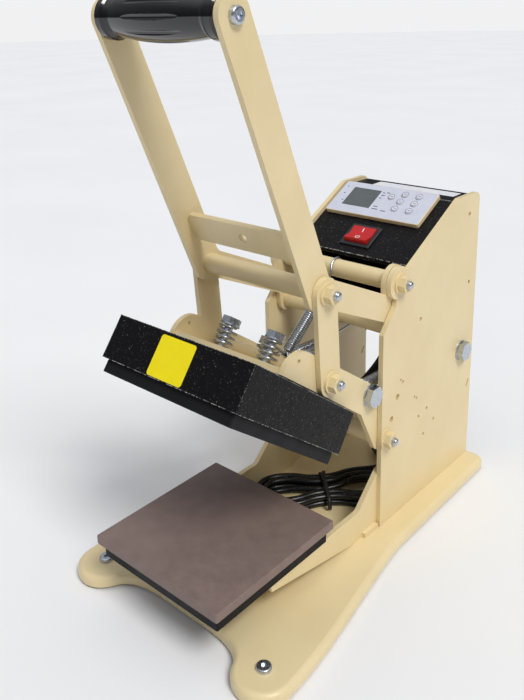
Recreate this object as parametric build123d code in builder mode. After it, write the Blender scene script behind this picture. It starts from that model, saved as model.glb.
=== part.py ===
from build123d import *
from math import acos, atan2, cos, degrees, hypot, pi, radians, sin, sqrt, tan
import os

# Small clamshell label press: a 150 mm heated square that swings down on a pad.
# X runs across the press, Y rearwards, Z up from the floor.
# Y is measured here from the middle of the lower platen; each finished piece is moved
# forwards at the end, so that the origin lies on the floor under the middle of the base.
# The press stands open, with its handle up. Lengths are millimetres, angles are degrees.

# Heated squares
platen_size = 150.0
pad_top = 65.8
float_travel = 1.0
float_clearance = 0.2
press_gap = float_travel + float_clearance
pad_thickness = 8.0
pad_corner = 1.5
lower_plate_thickness = 14.0
lower_plate_inset = 4.5
heater_thickness = 11.0
cover_height = 39.0
cover_overhang = 4.0
cover_sheet = 1.5
cover_corner = 1.2

# Base tray
base_top = 12.5
base_sheet = 2.5
base_lift = 2.5
base_edge_radius = 5.0
lobe_screw_x = 100.0
lobe_screw_y = -50.0
lobe_radius = 27.0
lobe_screw_head = 6.5
lobe_screw_height = 3.4
lobe_screw_round = 1.6
lobe_screw_length = 7.0
lobe_socket_radius = 2.6
lobe_socket_depth = 2.0
base_front_y = -43.0
base_waist_x = 98.0
base_waist_y = 150.0
base_rear_x = 95.0
base_rear_y = 338.0
base_rear_corner = 12.0
foot_radius = 11.0
foot_round = 1.5
foot_bore_clearance = 1.0
rear_foot_y = 318.0
rear_foot_x = 78.0

# Support under the lower platen
support_sheet = 5.0
support_tip_y = -4.0
support_tip_height = 8.0
support_belly_y = 116.0
support_rear_y = 184.0
support_rear_z = 74.0
support_knee_y = 124.0
support_knee_fillet = 8.0
support_step = 3.0
support_lug_width = 22.0
support_lug_height = 5.0
support_lug_setback = 13.0
support_lug_thickness = 4.0
bridge_sheet = 4.0
bridge_depth = 66.0
bridge_centre_y = 32.0
bridge_stud_x = 96.0
bridge_stud_y = 46.0
bridge_stud_radius = 3.0
bridge_stud_height = 7.0
stud_hole_clearance = 1.0

# Frame side plates
frame_inner = 68.0
frame_sheet = 5.0
frame_front_y = 154.0
frame_rear_y = 333.0
frame_top_z = 322.0
frame_slope_y = 288.0
frame_foot_width = 15.0
frame_foot_length = 80.0
frame_foot_middle = 285.0
frame_corner = 9.0
shoulder_drop = 45.0
throat_setback = 6.0
throat_drop = 22.0
slope_setback = 12.0
slope_rise = 8.0
frame_slot_inset = 7.0
frame_slot_z = 103.0
frame_slot_length = 10.0
frame_slot_width = 3.4
frame_slot_turn = 60
ear_radius = 16.0

# Linkage: pivot places at rest are given as (y, z)
arm_pivot = (161.0, 109.0)
lever_pivot = (180.0, 263.0)
arm_length = 129.0
crank_length = 114.0
toggle_clearance = 1.13
open_tilt = 37.0
running_gap = 0.5
pivot_fit = 0.08
collar_gap = 0.15
shaft_radius = 4.0
washer_radius = 10.0
washer_thickness = 2.0
nut_flats = 14.0
nut_height = 7.0
stud_reach = 3.0

# Plates of the linkage
link_width = 27.0
link_sheet = 5.0
lever_sheet = 5.0
lever_bar_width = 31.0
lever_bar_length = 240.0
lever_bar_offset = 2.5
lever_bar_angle = 123.5
lever_tail_angle = -13.5
lever_tail_width = 25.0
lever_lobe_radius = 16.5
lever_inner_fillet = 12.0
arm_sheet = 5.0
arm_height = 28.0
arm_nose = 188.0
arm_eye_radius = 13.0
arm_leg_start = 50.0
arm_nose_fillet = 23.0
arm_taper = 2.0
arm_nose_hole_radius = 2.0
arm_nose_hole_back = 14.0
arm_nose_hole_rise = 16.0
mount_sheet = 5.5
mount_gap = 2.0
mount_setback = 2.0
mount_depth = 111.0
tab_sheet = 4.0
tab_radius = 6.0
tab_hole_radius = 2.2

# Tubes and rods
tube_radius = 9.0
tube_wall = 2.0
toggle_tube_radius = 6.5
tail_tube_along = 130.0
tail_tube_drop = 15.0
tail_lobe_radius = 13.5
brace_up = 44.0
brace_width = 27.0
brace_sheet = 5.0
brace_chamfer = 3.0
brace_hole_radius = 4.5
rear_rod = (306.0, 150.0)
cross_rod_radius = 7.0
rod_bolt_radius = 5.0
rod_bolt_depth = 20.0
collar_thickness = 2.0
collar_radius = 9.8
arm_rod_back = 48.0
arm_rod_rise = 30.0
bolt_flats = 19.0
bolt_head = 8.0
bolt_flange = 1.5
tip_chamfer = 0.8
tapping_clearance = 2.0

# Spring bolts that carry the heated square
bolt_spacing_x = 53.0
bolt_front = 162.0
bolt_spacing_y = 62.0
bolt_slack = 0.4
bolt_thread_depth = 7.0
bolt_rim = 1.5
bolt_rim_radius = 9.2
seat_gap = 0.1
gland_drop = 17.0
gland_radius = 7.0
gland_length = 5.0
insulation_margin = 3.0
boss_radius = 15.0
platen_bolt_radius = 4.0
platen_bolt_flats = 16.0
platen_bolt_head = 7.0
platen_spring_length = 22.0
platen_spring_radius = 8.6
platen_spring_wire = 2.2
platen_spring_turns = 4

# Control box
cover_recess = 4.0
control_sheet = 1.5
control_front_y = 203.0
control_lip = 4.0
control_belly = (236.0, 250.0)
control_floor_z = 205.0
control_rear_gap = 3.0
control_side_gap = 0.3
window_gap = 0.2
controller_width = 115.0
controller_height = 49.0
controller_thickness = 5.0
controller_x = -6.5
controller_up = 75.0
display_width = 35.0
display_height = 29.0
display_x = -32.0
display_up = 76.5
display_depth = 1.2
controller_back = 22.0
controller_back_margin = 4.0
controller_corner = 2.5
controller_round = 0.8
button_radius = 4.2
button_columns = (15.0, 32.0)
button_rows = (90.5, 79.0, 67.5)
lone_button = (2.0, 84.0)
button_rise = 1.2
button_depth = 2.0
button_travel = 0.6
button_round = 0.5
button_clearance = 0.25
button_floor_gap = 0.1
rocker_x = -2.5
rocker_up = 25.0
rocker_width = 27.0
rocker_height = 22.4
bezel_rim = 4.3
bezel_thickness = 2.0
bezel_corner = 1.5
bezel_chamfer = 0.7
switch_wall = 1.0
switch_depth = 16.0
rocker_throw = 12.0
rocker_crown = 5.2
rocker_dip = 2.6
rocker_clearance = 0.35

# Handle grip
grip_radius = 19.0
grip_collar_radius = 17.5
grip_neck_radius = 15.0
grip_flutes = 10
grip_groove_radius = 2.6
grip_collar_length = 14.0
grip_collar_round = 1.5
grip_ring_width = 7.0
grip_ring_step = 8.5
grip_ring_depth = 2.0
grip_ring_end = 10.0
grip_ring_rise = 0.8
grip_screw_radius = 6.5
grip_screw_head = 4.5
grip_screw_depth = 24.0
grip_screw_round = 2.0
grip_socket_radius = 2.9
grip_socket_depth = 2.5

# Springs and cords
lift_tab = (104.0, 27.0)
lift_spring_lead = 12.0
return_spring_lead = 16.0
heater_cable_x = 25.0
heater_cable_y = 246.0
plug_nose = (37.0, 243.0)
plug_axis_z = 20.7
plug_nose_length = 12.0
plug_body_length = 36.0
plug_width = 26.0
plug_height = 16.0
plug_corner = 6.0
plug_neck_wall = 1.2
plug_taper_width = 4.0
plug_taper_height = 2.0
plug_shoulder = 0.8
plug_pin_spacing = 19.0
plug_pin_radius = 2.4
plug_pin_length = 19.0
mains_x = 0.0
mains_y = 283.0
relief_flange = 9.0
relief_neck = 5.5
relief_drop = 10.0
relief_flange_thickness = 3.0
relief_reach = 8.0
relief_clearance = 0.2
lift_spring_radius = 4.7
lift_spring_wire = 2.0
lift_spring_turns = 30
lift_spring_length = 84.0
return_spring_x = 50.0
return_spring_radius = 5.0
return_spring_wire = 2.0
return_spring_turns = 20
return_spring_length = 72.0
hook_gap = 0.3
heater_cable_radius = 4.5
heater_cable_lead = 16.0
cord_radius = 3.25
hank_centre = (0.0, 160.0)
hank_turn = 48.0
hank_runs = 8
hank_inner = 12.0
hank_step = 7.8
hank_layer = 7.1
hank_draw = 8.0
hank_straight = 46.0
hank_curve_end = 40.0
hank_waist = 4.0

os.makedirs("parts", exist_ok=True)
base_middle_y = (base_rear_y + lobe_screw_y - lobe_radius) / 2


def angle_of(start, end):
    """Direction from one (y, z) point to another."""
    return degrees(atan2(end[1] - start[1], end[0] - start[0]))


def beyond(point, angle, distance):
    """The (y, z) point that lies a distance away in a direction."""
    return (point[0] + distance * cos(radians(angle)), point[1] + distance * sin(radians(angle)))


# Heights of the heated square in the shut pose
cover_top = pad_top + press_gap + heater_thickness + cover_height
mount_bottom = cover_top + mount_gap
mount_top = mount_bottom + mount_sheet
arm_floor = mount_bottom - arm_pivot[1]

# Four-bar closure: shut, the toggle tube lies just above the mounting plate,
# and the crank and the link lie in one line from the lever pivot to it
toggle_rise = mount_top + toggle_tube_radius + toggle_clearance - arm_pivot[1]
toggle_shut = (arm_pivot[0] - sqrt(arm_length**2 - toggle_rise**2), arm_pivot[1] + toggle_rise)
link_length = hypot(toggle_shut[0] - lever_pivot[0], toggle_shut[1] - lever_pivot[1]) - crank_length
shut_angle = angle_of(arm_pivot, toggle_shut)
toggle_open = beyond(arm_pivot, shut_angle - open_tilt, arm_length)
open_span = hypot(toggle_open[0] - lever_pivot[0], toggle_open[1] - lever_pivot[1])
open_corner = degrees(acos((open_span**2 + crank_length**2 - link_length**2) / (2 * open_span * crank_length)))
crank_open = angle_of(lever_pivot, toggle_open) - open_corner
crank_shut = angle_of(lever_pivot, toggle_shut)
link_pivot = beyond(lever_pivot, crank_open, crank_length)
link_open = angle_of(link_pivot, toggle_open)
link_shut = crank_shut
lever_swing = crank_shut - crank_open
print("toggle point open", toggle_open, "shut", toggle_shut, "link pivot", link_pivot)
print("link length", link_length)
print("lever swing", lever_swing, "link turn", link_shut - link_open, "arm tilt", open_tilt)

# Layers across the press, measured from its middle
layer_outer = frame_inner - running_gap
lever_inner = layer_outer - lever_sheet
arm_inner = layer_outer - arm_sheet
link_outer = frame_inner + link_sheet
frame_outer = frame_inner + frame_sheet


def side_plane(x, centre=(0.0, 0.0), turn=0.0):
    """Plane that faces +X at x; its own x axis points rearwards, turned up by an angle."""
    rearwards = (0, cos(radians(turn)), sin(radians(turn)))
    return Plane(origin=(x, centre[0], centre[1]), x_dir=rearwards, z_dir=(1, 0, 0))


def arm_plane(x):
    """Side plane of the upper arms: origin on their pivot, x axis level when the press is shut."""
    return side_plane(x, arm_pivot, -open_tilt)


def lever_plane(x):
    """Side plane of the lever: origin on the lever pivot, x axis from the link pivot to it."""
    return side_plane(x, lever_pivot, crank_open + 180)


def link_plane(x):
    """Side plane of a link: origin on the link pivot, the toggle point straight below it."""
    return side_plane(x, link_pivot, link_open + 90)


def raised(y, z):
    """Where a (y, z) point of the shut press stands when the upper platen is tilted open."""
    turned = radians(-open_tilt)
    back, up = y - arm_pivot[0], z - arm_pivot[1]
    return (
        arm_pivot[0] + back * cos(turned) - up * sin(turned),
        arm_pivot[1] + back * sin(turned) + up * cos(turned),
    )


def press_plane(z, y=0.0):
    """Plane parallel to the heated face, at a height that is measured with the press shut."""
    tilt = radians(open_tilt)
    return Plane(origin=(0, *raised(y, z)), x_dir=(1, 0, 0), z_dir=(0, sin(tilt), cos(tilt)))


def save(builder, label):
    """Label a finished piece and write it, with the origin moved under the middle of the base."""
    builder.part.label = label
    builder.part.locate(Location((0, -base_middle_y, 0)))
    export_step(builder.part, f"parts/{label}.step")


def hex_radius(flats):
    """Corner radius of a hexagon from its width across flats."""
    return flats / sqrt(3)


sides = ((1, "right"), (-1, "left"))


# Base tray with two front lobes
def base_outline(shrink):
    """Outline of the pressed base: two lobes in front, a narrow strip behind."""
    with BuildLine() as outline:
        lobe = lobe_radius - shrink
        outer_lobe = (lobe_screw_x + lobe, lobe_screw_y)
        inner_lobe = beyond((lobe_screw_x, lobe_screw_y), 205, lobe)
        nose = beyond((lobe_screw_x, lobe_screw_y), 282, lobe)
        front = (0, base_front_y + shrink)
        waist = (base_waist_x - shrink, base_waist_y)
        flank = Spline(outer_lobe, waist, tangents=[(0, 1), (-0.12, 1)], tangent_scalars=[0.8, 1.1])
        tip = ThreePointArc(outer_lobe, nose, inner_lobe)
        hollow = Spline(inner_lobe, front, tangents=[tip % 1, (-1, 0)])
        corner_y = base_rear_y - shrink
        strip = Polyline(flank @ 1, (base_rear_x - shrink, corner_y - base_rear_corner))
        turn = RadiusArc(
            strip @ 1,
            (base_rear_x - shrink - base_rear_corner, corner_y),
            -base_rear_corner,
        )
        Line(turn @ 1, (0, corner_y))
        mirror(about=Plane.YZ)
    make_face(outline.edges())


with BuildPart() as base:
    with BuildSketch(Plane.XY.offset(base_lift)):
        base_outline(0)
    extrude(amount=base_top - base_lift)
    fillet(base.faces().sort_by(Axis.Z)[-1].edges(), base_edge_radius)
    with BuildSketch(Plane.XY.offset(base_lift)):
        base_outline(base_sheet)
    extrude(amount=base_top - base_lift - base_sheet, mode=Mode.SUBTRACT)
    with BuildSketch(Plane.XY.offset(base_top)):
        with Locations((lobe_screw_x, lobe_screw_y), (-lobe_screw_x, lobe_screw_y)):
            Circle(shaft_radius + pivot_fit)
    extrude(amount=-base_sheet, mode=Mode.SUBTRACT)
save(base, "base_tray")

with BuildPart() as feet:
    with BuildSketch(Plane.XY):
        with Locations(
            (lobe_screw_x, lobe_screw_y),
            (-lobe_screw_x, lobe_screw_y),
            (rear_foot_x, rear_foot_y),
            (-rear_foot_x, rear_foot_y),
        ):
            Circle(foot_radius)
    extrude(amount=base_top - base_sheet)
    fillet(feet.edges().group_by(Axis.Z)[0], foot_round)
    with BuildSketch(Plane.XY.offset(base_top - base_sheet)):
        with Locations((lobe_screw_x, lobe_screw_y), (-lobe_screw_x, lobe_screw_y)):
            Circle(shaft_radius + pivot_fit)
    extrude(amount=base_sheet - lobe_screw_length - foot_bore_clearance, mode=Mode.SUBTRACT)
save(feet, "rubber_feet")

with BuildPart() as lobe_screws:
    with BuildSketch(Plane.XY.offset(base_top)):
        with Locations((lobe_screw_x, lobe_screw_y), (-lobe_screw_x, lobe_screw_y)):
            Circle(lobe_screw_head)
    extrude(amount=lobe_screw_height)
    fillet(lobe_screws.edges().group_by(Axis.Z)[-1], lobe_screw_round)
    with BuildSketch(Plane.XY.offset(base_top + lobe_screw_height)):
        with Locations((lobe_screw_x, lobe_screw_y), (-lobe_screw_x, lobe_screw_y)):
            RegularPolygon(lobe_socket_radius, 6)
    extrude(amount=-lobe_socket_depth, mode=Mode.SUBTRACT)
    with BuildSketch(Plane.XY.offset(base_top)):
        with Locations((lobe_screw_x, lobe_screw_y), (-lobe_screw_x, lobe_screw_y)):
            Circle(shaft_radius)
    extrude(amount=-lobe_screw_length)
save(lobe_screws, "lobe_screws")


# Frame side plates
slope_low = (lever_pivot[0] + slope_setback, lever_pivot[1] + slope_rise)


def frame_profile():
    """Side view of a frame plate: tall rear edge, sloped top, round ear at the lever pivot."""
    with BuildLine() as outline:
        Polyline(
            (frame_front_y, base_top),
            (frame_front_y, lever_pivot[1] - shoulder_drop),
            (lever_pivot[0] - throat_setback, lever_pivot[1] - throat_drop),
            lever_pivot,
            slope_low,
            (frame_slope_y, frame_top_z),
            (frame_rear_y, frame_top_z),
            (frame_rear_y, base_top),
            close=True,
        )
    make_face(outline.edges())
    with Locations(lever_pivot):
        Circle(ear_radius)


# Small holes of a frame plate: y, z and radius
hole_list = (
    (312, 301, 2.4),
    (318, 225, 2.4),
    (186, 161, 1.6),
    (190, 158, 1.6),
    (181, 145, 3.2),
    (171, 125, 3.2),
    (213, 132, 1.6),
    (217, 129, 1.6),
    (238, 109, 1.8),
    (222, 106, 1.8),
    (253, 90, 1.8),
    (233, 81, 1.8),
    (220, 214, 2.2),
)

for side, name in sides:
    with BuildPart() as frame_plate:
        with BuildSketch(side_plane(side * frame_inner)):
            frame_profile()
            fillet(vertices().sort_by(Axis.Y)[-2:], frame_corner)
            for y, z, radius in hole_list:
                with Locations((y, z)):
                    Circle(radius, mode=Mode.SUBTRACT)
            with Locations((frame_rear_y - frame_slot_inset, frame_slot_z)):
                SlotOverall(
                    frame_slot_length, frame_slot_width, rotation=frame_slot_turn, mode=Mode.SUBTRACT
                )
            with Locations(arm_pivot, lever_pivot):
                Circle(shaft_radius + pivot_fit, mode=Mode.SUBTRACT)
            with Locations(rear_rod):
                Circle(rod_bolt_radius + pivot_fit, mode=Mode.SUBTRACT)
        extrude(amount=side * frame_sheet)
        with BuildSketch(Plane.XY.offset(base_top)):
            with Locations((side * (frame_inner - frame_foot_width / 2), frame_foot_middle)):
                Rectangle(frame_foot_width, frame_foot_length)
        extrude(amount=frame_sheet)
    save(frame_plate, f"side_plate_{name}")

# Lower support arms, bridge and platen
lower_plate_bottom = pad_top - pad_thickness - lower_plate_thickness


def support_profile():
    """Side view of a support arm: level top, tip at mid platen, belly rising from the base."""
    with BuildLine() as outline:
        Polyline(
            (support_tip_y, lower_plate_bottom),
            (support_tip_y + 1, lower_plate_bottom - support_tip_height),
            (support_belly_y, base_top),
            (support_rear_y, base_top),
            (support_rear_y, support_rear_z),
            (frame_front_y + support_step, support_rear_z),
            (support_knee_y, lower_plate_bottom),
            close=True,
        )
    make_face(outline.edges())


for side, name in sides:
    with BuildPart() as support:
        with BuildSketch(side_plane(side * frame_inner)):
            support_profile()
            fillet(vertices().sort_by_distance((support_knee_y, lower_plate_bottom, 0))[0], support_knee_fillet)
        extrude(amount=-side * support_sheet)
        with BuildSketch(side_plane(side * frame_inner)):
            with Locations((frame_front_y - support_lug_setback, base_top + support_lug_height / 2)):
                Rectangle(support_lug_width, support_lug_height)
        extrude(amount=side * support_lug_thickness)
    save(support, f"support_arm_{name}")

support_inner = frame_inner - support_sheet
with BuildPart() as bridge:
    with BuildSketch(Plane.XY.offset(lower_plate_bottom)):
        with Locations((0, bridge_centre_y)):
            Rectangle(2 * support_inner, bridge_depth)
    extrude(amount=-bridge_sheet)
    with BuildSketch(Plane.XY.offset(lower_plate_bottom)):
        with Locations((0, bridge_centre_y)), GridLocations(bridge_stud_x, bridge_stud_y, 2, 2):
            Circle(bridge_stud_radius)
    extrude(amount=bridge_stud_height)
save(bridge, "platen_bridge")

with BuildPart() as lower_plate:
    with BuildSketch(Plane.XY.offset(lower_plate_bottom)):
        RectangleRounded(platen_size - 2 * lower_plate_inset, platen_size - 2 * lower_plate_inset, pad_corner)
    extrude(amount=lower_plate_thickness)
    chamfer(lower_plate.edges().group_by(Axis.Z)[0], 0.8)
    with BuildSketch(Plane.XY.offset(lower_plate_bottom)):
        with Locations((0, bridge_centre_y)), GridLocations(bridge_stud_x, bridge_stud_y, 2, 2):
            Circle(bridge_stud_radius + pivot_fit)
    extrude(amount=bridge_stud_height + stud_hole_clearance, mode=Mode.SUBTRACT)
save(lower_plate, "lower_platen")

with BuildPart() as pad:
    with BuildSketch(Plane.XY.offset(pad_top - pad_thickness)):
        RectangleRounded(platen_size, platen_size, pad_corner)
    extrude(amount=pad_thickness)
    fillet(pad.edges().group_by(Axis.Z)[-1], 0.8)
save(pad, "silicone_pad")


def hex_bolt(x, centre, side, flats, head, shank_radius, shank):
    """Flanged hex bolt whose head sits on an outer face at x; the shank points inwards."""
    with BuildSketch(side_plane(side * x, centre)) as flange:
        Circle(hex_radius(flats))
    extrude(flange.sketch, amount=side * bolt_flange)
    with BuildSketch(side_plane(side * (x + bolt_flange), centre)) as hexagon:
        RegularPolygon(hex_radius(flats), 6)
    extrude(hexagon.sketch, amount=side * (head - bolt_flange))
    with BuildSketch(side_plane(side * x, centre)) as core:
        Circle(shank_radius)
    extrude(core.sketch, amount=-side * shank)


def flange_nuts(x, centre):
    """A flanged hex nut on each side of the press, drilled for its stud."""
    for side, _ in sides:
        with BuildSketch(side_plane(side * x, centre)) as flange:
            Circle(washer_radius)
        extrude(flange.sketch, amount=side * washer_thickness)
        with BuildSketch(side_plane(side * (x + washer_thickness), centre)) as hexagon:
            RegularPolygon(hex_radius(nut_flats), 6)
        extrude(hexagon.sketch, amount=side * nut_height)
        with BuildSketch(side_plane(side * x, centre)) as bore:
            Circle(shaft_radius + pivot_fit)
        extrude(bore.sketch, amount=side * (washer_thickness + nut_height), mode=Mode.SUBTRACT)


def cross_shaft(centre, half_length, radius):
    """Round bar across the press with domed ends."""
    with BuildSketch(side_plane(-half_length, centre)) as section:
        Circle(radius)
    extrude(section.sketch, amount=2 * half_length)
    rims = [edge for edge in edges(Select.LAST) if abs(abs(edge.center().X) - half_length) < 0.01]
    chamfer(rims, tip_chamfer)


def cross_tube(centre, half_length, outer, bore):
    """Tube across the press."""
    with BuildSketch(side_plane(-half_length, centre)) as section:
        Circle(outer)
        Circle(bore, mode=Mode.SUBTRACT)
    extrude(section.sketch, amount=2 * half_length)


# Pivots that the frame carries
stud_half = frame_outer + washer_thickness + nut_height + stud_reach
with BuildPart() as pivot_shafts:
    cross_shaft(arm_pivot, stud_half, shaft_radius)
    cross_shaft(lever_pivot, stud_half, shaft_radius)
save(pivot_shafts, "frame_pivot_shafts")
with BuildPart() as frame_nuts:
    flange_nuts(frame_outer, arm_pivot)
    flange_nuts(frame_outer, lever_pivot)
save(frame_nuts, "frame_pivot_nuts")

spacer_half = lever_inner - collar_thickness - 2 * collar_gap
with BuildPart() as spacer:
    cross_tube(lever_pivot, spacer_half, tube_radius, shaft_radius + pivot_fit)
save(spacer, "lever_spacer_tube")
with BuildPart() as collars:
    for side, _ in sides:
        with BuildSketch(side_plane(side * (lever_inner - collar_gap), lever_pivot)) as ring:
            Circle(collar_radius)
            Circle(shaft_radius + pivot_fit, mode=Mode.SUBTRACT)
        extrude(ring.sketch, amount=-side * collar_thickness)
save(collars, "lever_pivot_washers")


def tapped_rod(centre, half_length, radius):
    """Round spacer rod with a blind hole in each end for its bolts."""
    with BuildSketch(side_plane(-half_length, centre)) as section:
        Circle(radius)
    extrude(section.sketch, amount=2 * half_length)
    for side, _ in sides:
        with BuildSketch(side_plane(side * half_length, centre)) as hole:
            Circle(rod_bolt_radius + pivot_fit)
        extrude(hole.sketch, amount=-side * (rod_bolt_depth + tapping_clearance), mode=Mode.SUBTRACT)


with BuildPart() as rear_bar:
    tapped_rod(rear_rod, frame_inner, cross_rod_radius)
save(rear_bar, "rear_cross_rod")
with BuildPart() as rear_bolts:
    for side, _ in sides:
        hex_bolt(
            frame_outer, rear_rod, side, bolt_flats, bolt_head, rod_bolt_radius, frame_sheet + rod_bolt_depth
        )
save(rear_bolts, "rear_rod_bolts")


# Lever: two cranked plates, their tubes, the cross plate and the grip
link_eye = (-crank_length, 0.0)
bar_direction = lever_bar_angle
bar_middle = beyond(link_eye, bar_direction + 90, lever_bar_offset)
bar_end = beyond(bar_middle, bar_direction, lever_bar_length)
tail_end = beyond(link_eye, lever_tail_angle, tail_tube_along)
tail_tube = beyond(tail_end, lever_tail_angle - 90, tail_tube_drop)


def strip(start, end, width):
    """Flat bar between two points, round at both ends."""
    direction = angle_of(start, end)
    length = hypot(end[0] - start[0], end[1] - start[1])
    middle = beyond(start, direction, length / 2)
    with Locations(Location((middle[0], middle[1], 0), (0, 0, direction))):
        Rectangle(length, width)
    with Locations(start, end):
        Circle(width / 2)


def lever_profile():
    """Side view of a lever plate: elbow at the link pivot, lobe at the lever pivot."""
    tail_direction = angle_of((0, 0), tail_tube)
    strip(bar_middle, bar_end, lever_bar_width)
    strip(link_eye, beyond(link_eye, lever_tail_angle, tail_tube_along - 10), lever_tail_width)
    with Locations((0, 0)):
        Circle(lever_lobe_radius)
    with Locations(tail_tube):
        Circle(tail_lobe_radius)
    with BuildLine() as web:
        Polyline(
            beyond((0, 0), tail_direction + 90, lever_lobe_radius),
            beyond(tail_tube, tail_direction + 90, tail_lobe_radius),
            beyond(tail_tube, tail_direction - 90, tail_lobe_radius),
            beyond((0, 0), tail_direction - 90, lever_lobe_radius),
            close=True,
        )
    make_face(web.edges())


# Corner between the bar and the tail, where their near edges meet
corner_turn = radians(lever_tail_angle + 90 - (lever_bar_angle - 90))
bar_reach = lever_bar_width / 2 - lever_bar_offset
tail_reach = lever_tail_width / 2
corner_along = (tail_reach - bar_reach * cos(corner_turn)) / sin(corner_turn)
inner_corner = beyond(
    beyond(link_eye, lever_bar_angle - 90, bar_reach),
    lever_bar_angle,
    corner_along,
)
for side, name in sides:
    with BuildPart() as lever_plate:
        with BuildSketch(lever_plane(side * lever_inner)):
            lever_profile()
            fillet(vertices().sort_by_distance((inner_corner[0], inner_corner[1], 0))[0], lever_inner_fillet)
            with Locations(bar_end, (0, 0), link_eye):
                Circle(shaft_radius + pivot_fit, mode=Mode.SUBTRACT)
        extrude(amount=side * lever_sheet)
    save(lever_plate, f"lever_plate_{name}")


def in_lever(point):
    """Turn a (y, z) point of the lever's own frame into the frame of the press."""
    turn = crank_open + 180
    across = beyond(lever_pivot, turn, point[0])
    return beyond(across, turn + 90, point[1])


def journal_tube(centre, half_length, outer):
    """Tube across the press whose turned ends fill the holes of the plates beside it."""
    cross_shaft(centre, layer_outer, shaft_radius)
    with BuildSketch(side_plane(-half_length, centre)) as sleeve:
        Circle(outer)
    extrude(sleeve.sketch, amount=2 * half_length)


with BuildPart() as elbow_tube:
    journal_tube(link_pivot, lever_inner, tube_radius)
save(elbow_tube, "lever_elbow_tube")
with BuildPart() as tail_bar:
    cross_tube(in_lever(tail_tube), lever_inner, tube_radius, tube_radius - tube_wall)
save(tail_bar, "lever_tail_tube")
brace_middle = in_lever(beyond(bar_middle, bar_direction, brace_up))
brace_turn = crank_open + 180 + bar_direction
with BuildPart() as brace:
    brace_plane = side_plane(0, brace_middle, brace_turn)
    with BuildSketch(Plane(origin=brace_plane.origin, x_dir=(1, 0, 0), z_dir=brace_plane.y_dir)):
        Rectangle(2 * lever_inner, brace_width)
        chamfer(vertices(), brace_chamfer)
        Circle(brace_hole_radius, mode=Mode.SUBTRACT)
    extrude(amount=brace_sheet / 2, both=True)
save(brace, "lever_cross_plate")


# Grip: a barrel with wide flutes between two collars, on a rod between the bars
grip_centre = in_lever(bar_end)
grip_half = lever_inner - collar_gap
grip_axis = Axis((0, grip_centre[0], grip_centre[1]), (1, 0, 0))
grip_end = grip_half - grip_collar_length
with BuildPart() as grip:
    with BuildSketch(Plane(origin=grip_axis.position, x_dir=(1, 0, 0), z_dir=(0, 0, 1))):
        with BuildLine():
            collar_edge = Polyline(
                (grip_half, shaft_radius + pivot_fit),
                (grip_half, grip_collar_radius - grip_collar_round),
                (grip_half - grip_collar_round, grip_collar_radius),
                (grip_half - grip_ring_width, grip_collar_radius),
                (grip_half - grip_ring_step, grip_collar_radius - grip_ring_depth),
                (grip_half - grip_ring_end, grip_collar_radius - grip_ring_rise),
                (grip_end, grip_neck_radius),
            )
            mirror(collar_edge, about=Plane.YZ)
            ThreePointArc((grip_end, grip_neck_radius), (0, grip_radius), (-grip_end, grip_neck_radius))
            Line((grip_half, shaft_radius + pivot_fit), (-grip_half, shaft_radius + pivot_fit))
        make_face()
    revolve(axis=grip_axis)
    with BuildSketch(side_plane(-grip_end, grip_centre)) as grooves:
        with PolarLocations(grip_radius + 1, grip_flutes):
            Circle(grip_groove_radius)
    extrude(grooves.sketch, amount=2 * grip_end, mode=Mode.SUBTRACT)
save(grip, "handle_grip")
with BuildPart() as grip_screws:
    head_face = layer_outer + grip_screw_head
    for side, _ in sides:
        with BuildSketch(side_plane(side * layer_outer, grip_centre)) as head:
            Circle(grip_screw_radius)
        extrude(head.sketch, amount=side * grip_screw_head)
        with BuildSketch(side_plane(side * layer_outer, grip_centre)) as shank:
            Circle(shaft_radius)
        extrude(shank.sketch, amount=-side * (lever_sheet + grip_screw_depth))
    rims = [edge for edge in edges() if abs(abs(edge.center().X) - head_face) < 0.01]
    fillet(rims, grip_screw_round)
    for side, _ in sides:
        with BuildSketch(side_plane(side * head_face, grip_centre)) as socket:
            RegularPolygon(grip_socket_radius, 6)
        extrude(socket.sketch, amount=-side * grip_socket_depth, mode=Mode.SUBTRACT)
save(grip_screws, "grip_screws")


# Links and the toggle pivot
def link_profile():
    """Side view of a link: an eye at each end."""
    with Locations((0, -link_length / 2)):
        Rectangle(link_width, link_length)
    with Locations((0, 0), (0, -link_length)):
        Circle(link_width / 2)
    with Locations((0, 0), (0, -link_length)):
        Circle(shaft_radius + pivot_fit, mode=Mode.SUBTRACT)


for side, name in sides:
    with BuildPart() as link:
        with BuildSketch(link_plane(side * frame_inner)):
            link_profile()
        extrude(amount=side * link_sheet)
    save(link, f"link_{name}")
with BuildPart() as link_bolts:
    stud_end = link_outer + washer_thickness + nut_height + stud_reach
    for side, _ in sides:
        with BuildSketch(side_plane(side * link_outer, link_pivot)) as flange:
            Circle(washer_radius)
        extrude(flange.sketch, amount=side * washer_thickness)
        with BuildSketch(side_plane(side * (link_outer + washer_thickness), link_pivot)) as hexagon:
            RegularPolygon(hex_radius(nut_flats), 6)
        extrude(hexagon.sketch, amount=side * nut_height)
        with BuildSketch(side_plane(side * frame_inner, link_pivot)) as stud:
            Circle(shaft_radius)
        extrude(stud.sketch, amount=side * (stud_end - frame_inner))
    tips = [edge for edge in edges() if abs(abs(edge.center().X) - stud_end) < 0.01]
    chamfer(tips, tip_chamfer)
save(link_bolts, "link_bolts")


# Upper arms, drawn as they lie with the press shut
toggle_eye = beyond((0, 0), shut_angle, arm_length)
arm_top = arm_floor + arm_height


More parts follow.
